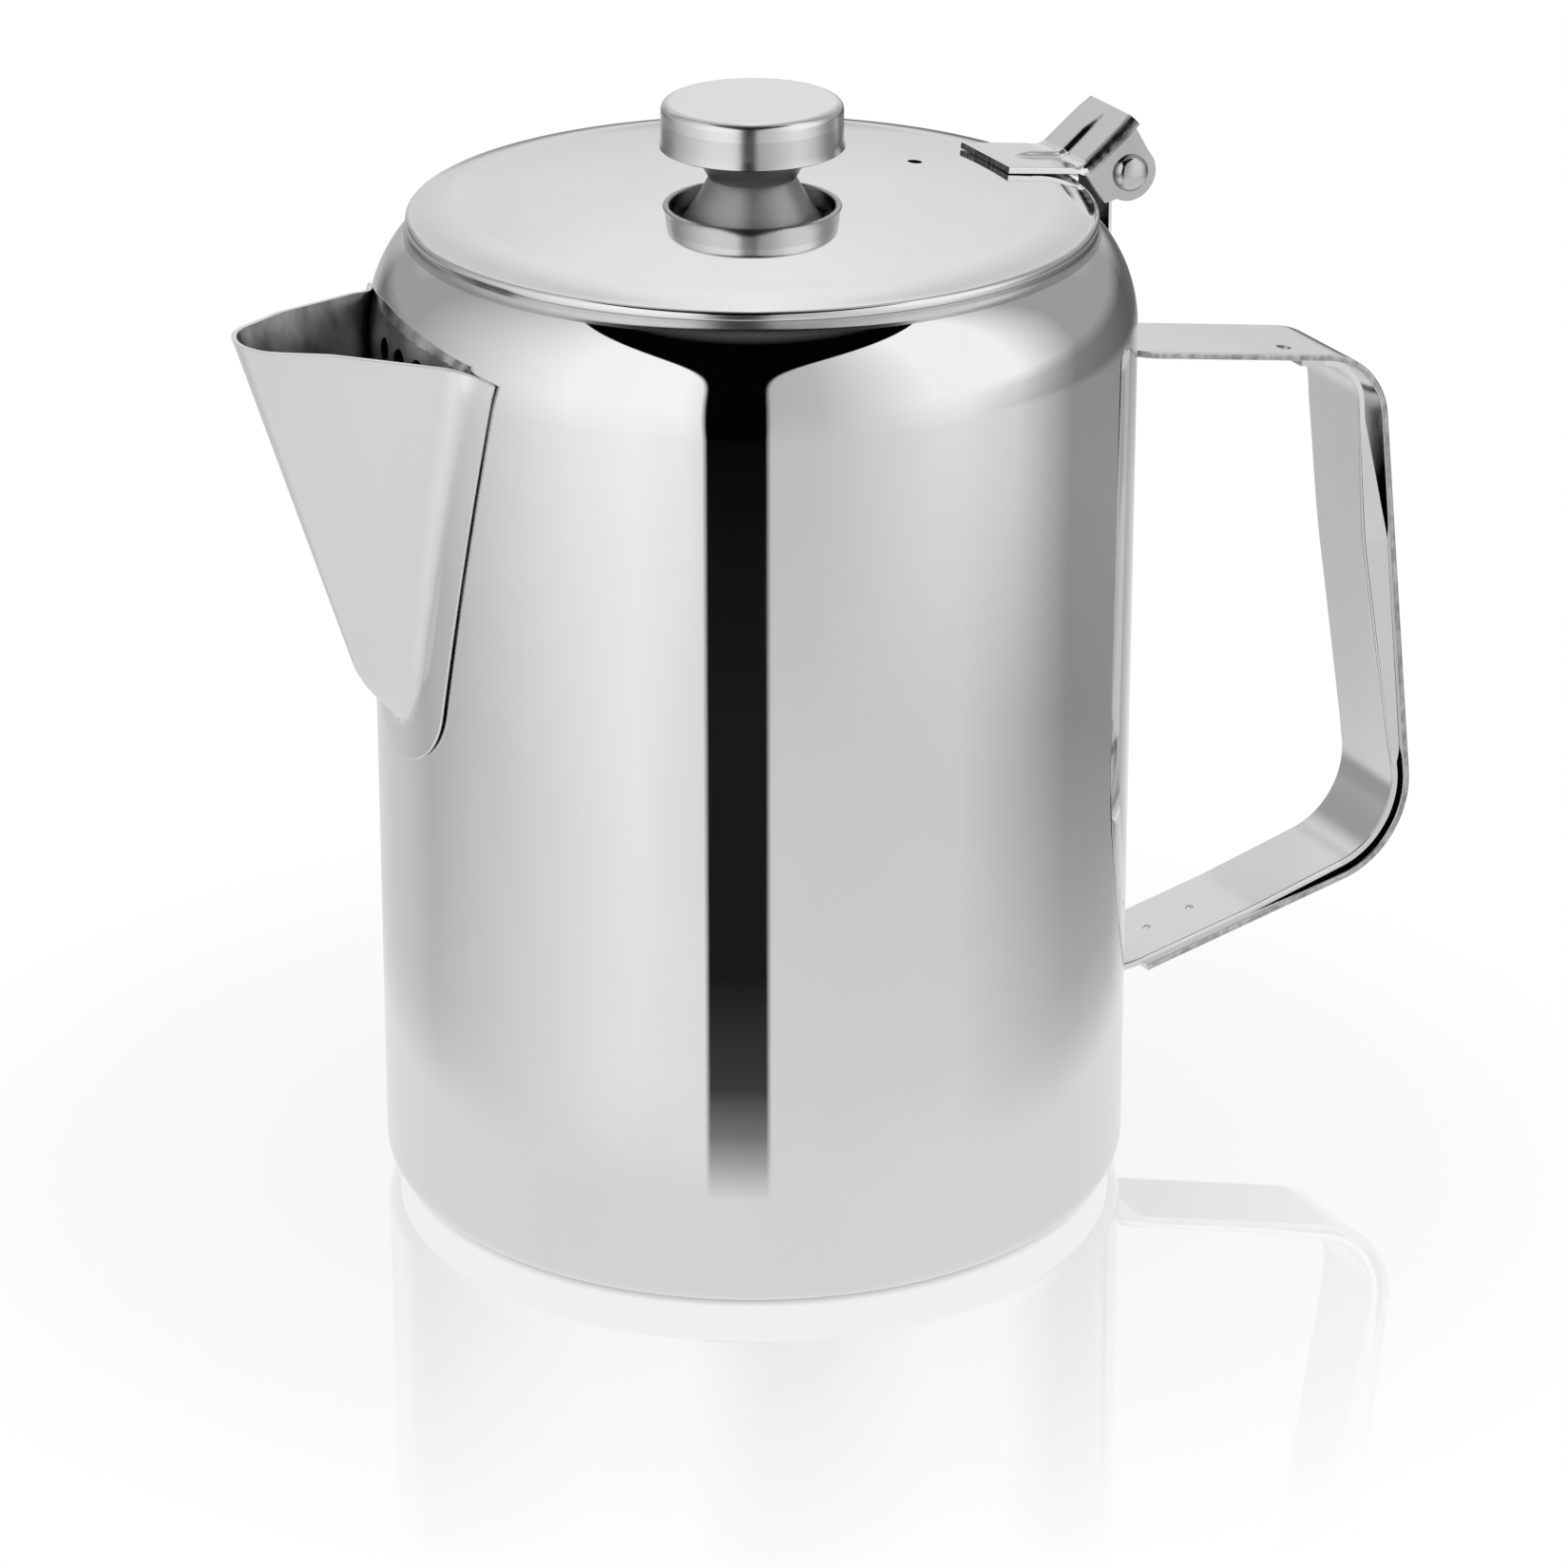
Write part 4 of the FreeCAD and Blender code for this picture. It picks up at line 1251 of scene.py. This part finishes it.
def make_floor():
    """White glossy table with a painted contact shadow at the pot's foot, whose reflection of the pot fades
    away from it, over a glow for the pot alone.
    """
    contact = (body_radius - base_corner_radius) * MM

    def white(tree):
        # Painted contact shadow: the table's light drops to 0.35-0.4 under the pot's foot and just outside it.
        contact_shadow = radial_ramp(tree, [(0.0, 0.35), (contact + 0.0015, 0.4), (contact + 0.004, 1.0), (0.3, 1.0)])
        return add(tree, "ShaderNodeEmission", {"Color": contact_shadow}).outputs["Emission"]

    def shine(tree):
        return add(tree, "ShaderNodeBsdfGlossy", {"Roughness": 0.02}).outputs["BSDF"]

    def clear(tree):
        return add(tree, "ShaderNodeBsdfTransparent").outputs["BSDF"]

    def light(tree):
        return add(tree, "ShaderNodeEmission", {"Color": (glow_level,) * 3 + (1,)}).outputs["Emission"]

    floor = table_layer("floor", floor_radius, 0.0, "white_table", white, shine, [
        (0.0, 0.30), (0.07, 0.27), (0.12, 0.13), (0.155, 0.02), (0.17, 0.0), (0.3, 0.0)])
    floor.visible_glossy = False
    glow = table_layer("floor_glow", glow_radius, -glow_drop, "white_table_glow", clear, light, [
        (0.0, 1.0), (0.105, 1.0), (0.12, 0.5), (0.13, 0.25), (0.15, 0.05), (glow_radius, 0.0)])
    glow.visible_camera = False
    glow.visible_diffuse = False
    glow.visible_shadow = False
    glow.visible_transmission = False


def make_camera():
    lens = bpy.data.cameras.new("camera")
    lens.lens = camera_lens
    lens.sensor_width = camera_sensor
    camera = bpy.data.objects.new("camera", lens)
    camera.location = camera_place
    camera.rotation_euler = (math.radians(camera_tilt), 0, math.radians(camera_heading))
    bpy.context.scene.collection.objects.link(camera)
    bpy.context.scene.camera = camera
    bpy.context.scene.view_settings.view_transform = "Standard"


# ---- assembly
def steady_normals(piece):
    """Large faces keep their own direction, so flat sheet metal shades flat."""
    weigh = piece.modifiers.new("normals", "WEIGHTED_NORMAL")
    weigh.keep_sharp = True
    bpy.context.view_layer.update()
    result = bpy.data.meshes.new_from_object(piece.evaluated_get(bpy.context.evaluated_depsgraph_get()))
    piece.modifiers.clear()
    piece.data = result


def main():
    steel = make_materials()
    polished, satin = "polished_steel", "satin_steel"
    pieces = [
        (make_body, "pot", "body_shell", polished, [
            ("body", everywhere), ("soft", inside_pot), ("satin", on_neck), ("blotchy_shade", behind_spout)]),
        (make_spout, "pot", "spout_shell", polished, [("mirror", None), ("blotchy_shade", None), ("edge", None)]),
        (make_outer_strap, "pot", "handle_outer_strap", polished, [
            ("rolled", everywhere), ("sheared_and_shaded", facing_sideways)]),
        (make_inner_strap, "pot", "handle_inner_strap", polished, [("rolled", everywhere)]),
        (make_bracket, "pot", "hinge_bracket", polished, [
            ("soft", everywhere), ("edge", on_foot_rim), ("satin", in_foot_dimple),
            ("black_shade", on_tongue_front)]),
        (make_rivet, "pot", "hinge_rivet", satin, [("rivet", everywhere)]),
        (make_leaf, "lid", "hinge_leaf", polished, [
            ("rolled", everywhere), ("sheared_and_shaded", under_leaf), ("ear", on_ear), ("blotchy_shade", on_ear_fold),
            ("fold_and_edge_shade", on_fold_middle), ("fold_and_edge_shade", on_leaf_front)]),
        (make_lid, "lid", "lid_shell", polished, [
            ("mirror", everywhere), ("soft", on_lid_rim), ("soft", under_lid)]),
        (make_knob_cap, "lid", "knob_cap", polished, [
            ("mirror", everywhere), ("soft", on_knob_edge), ("brushed", on_knob_side)]),
        (make_knob_stem, "lid", "knob_stem", satin, [("stem", everywhere)]),
    ]
    for make, body, node, slot, finishes in pieces:
        piece = make()
        dress(piece, [(steel[kind], chooser) for kind, chooser in finishes])
        steady_normals(piece)
        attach(piece, body)
        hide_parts(node)
    make_world()
    make_floor()
    make_camera()


main()
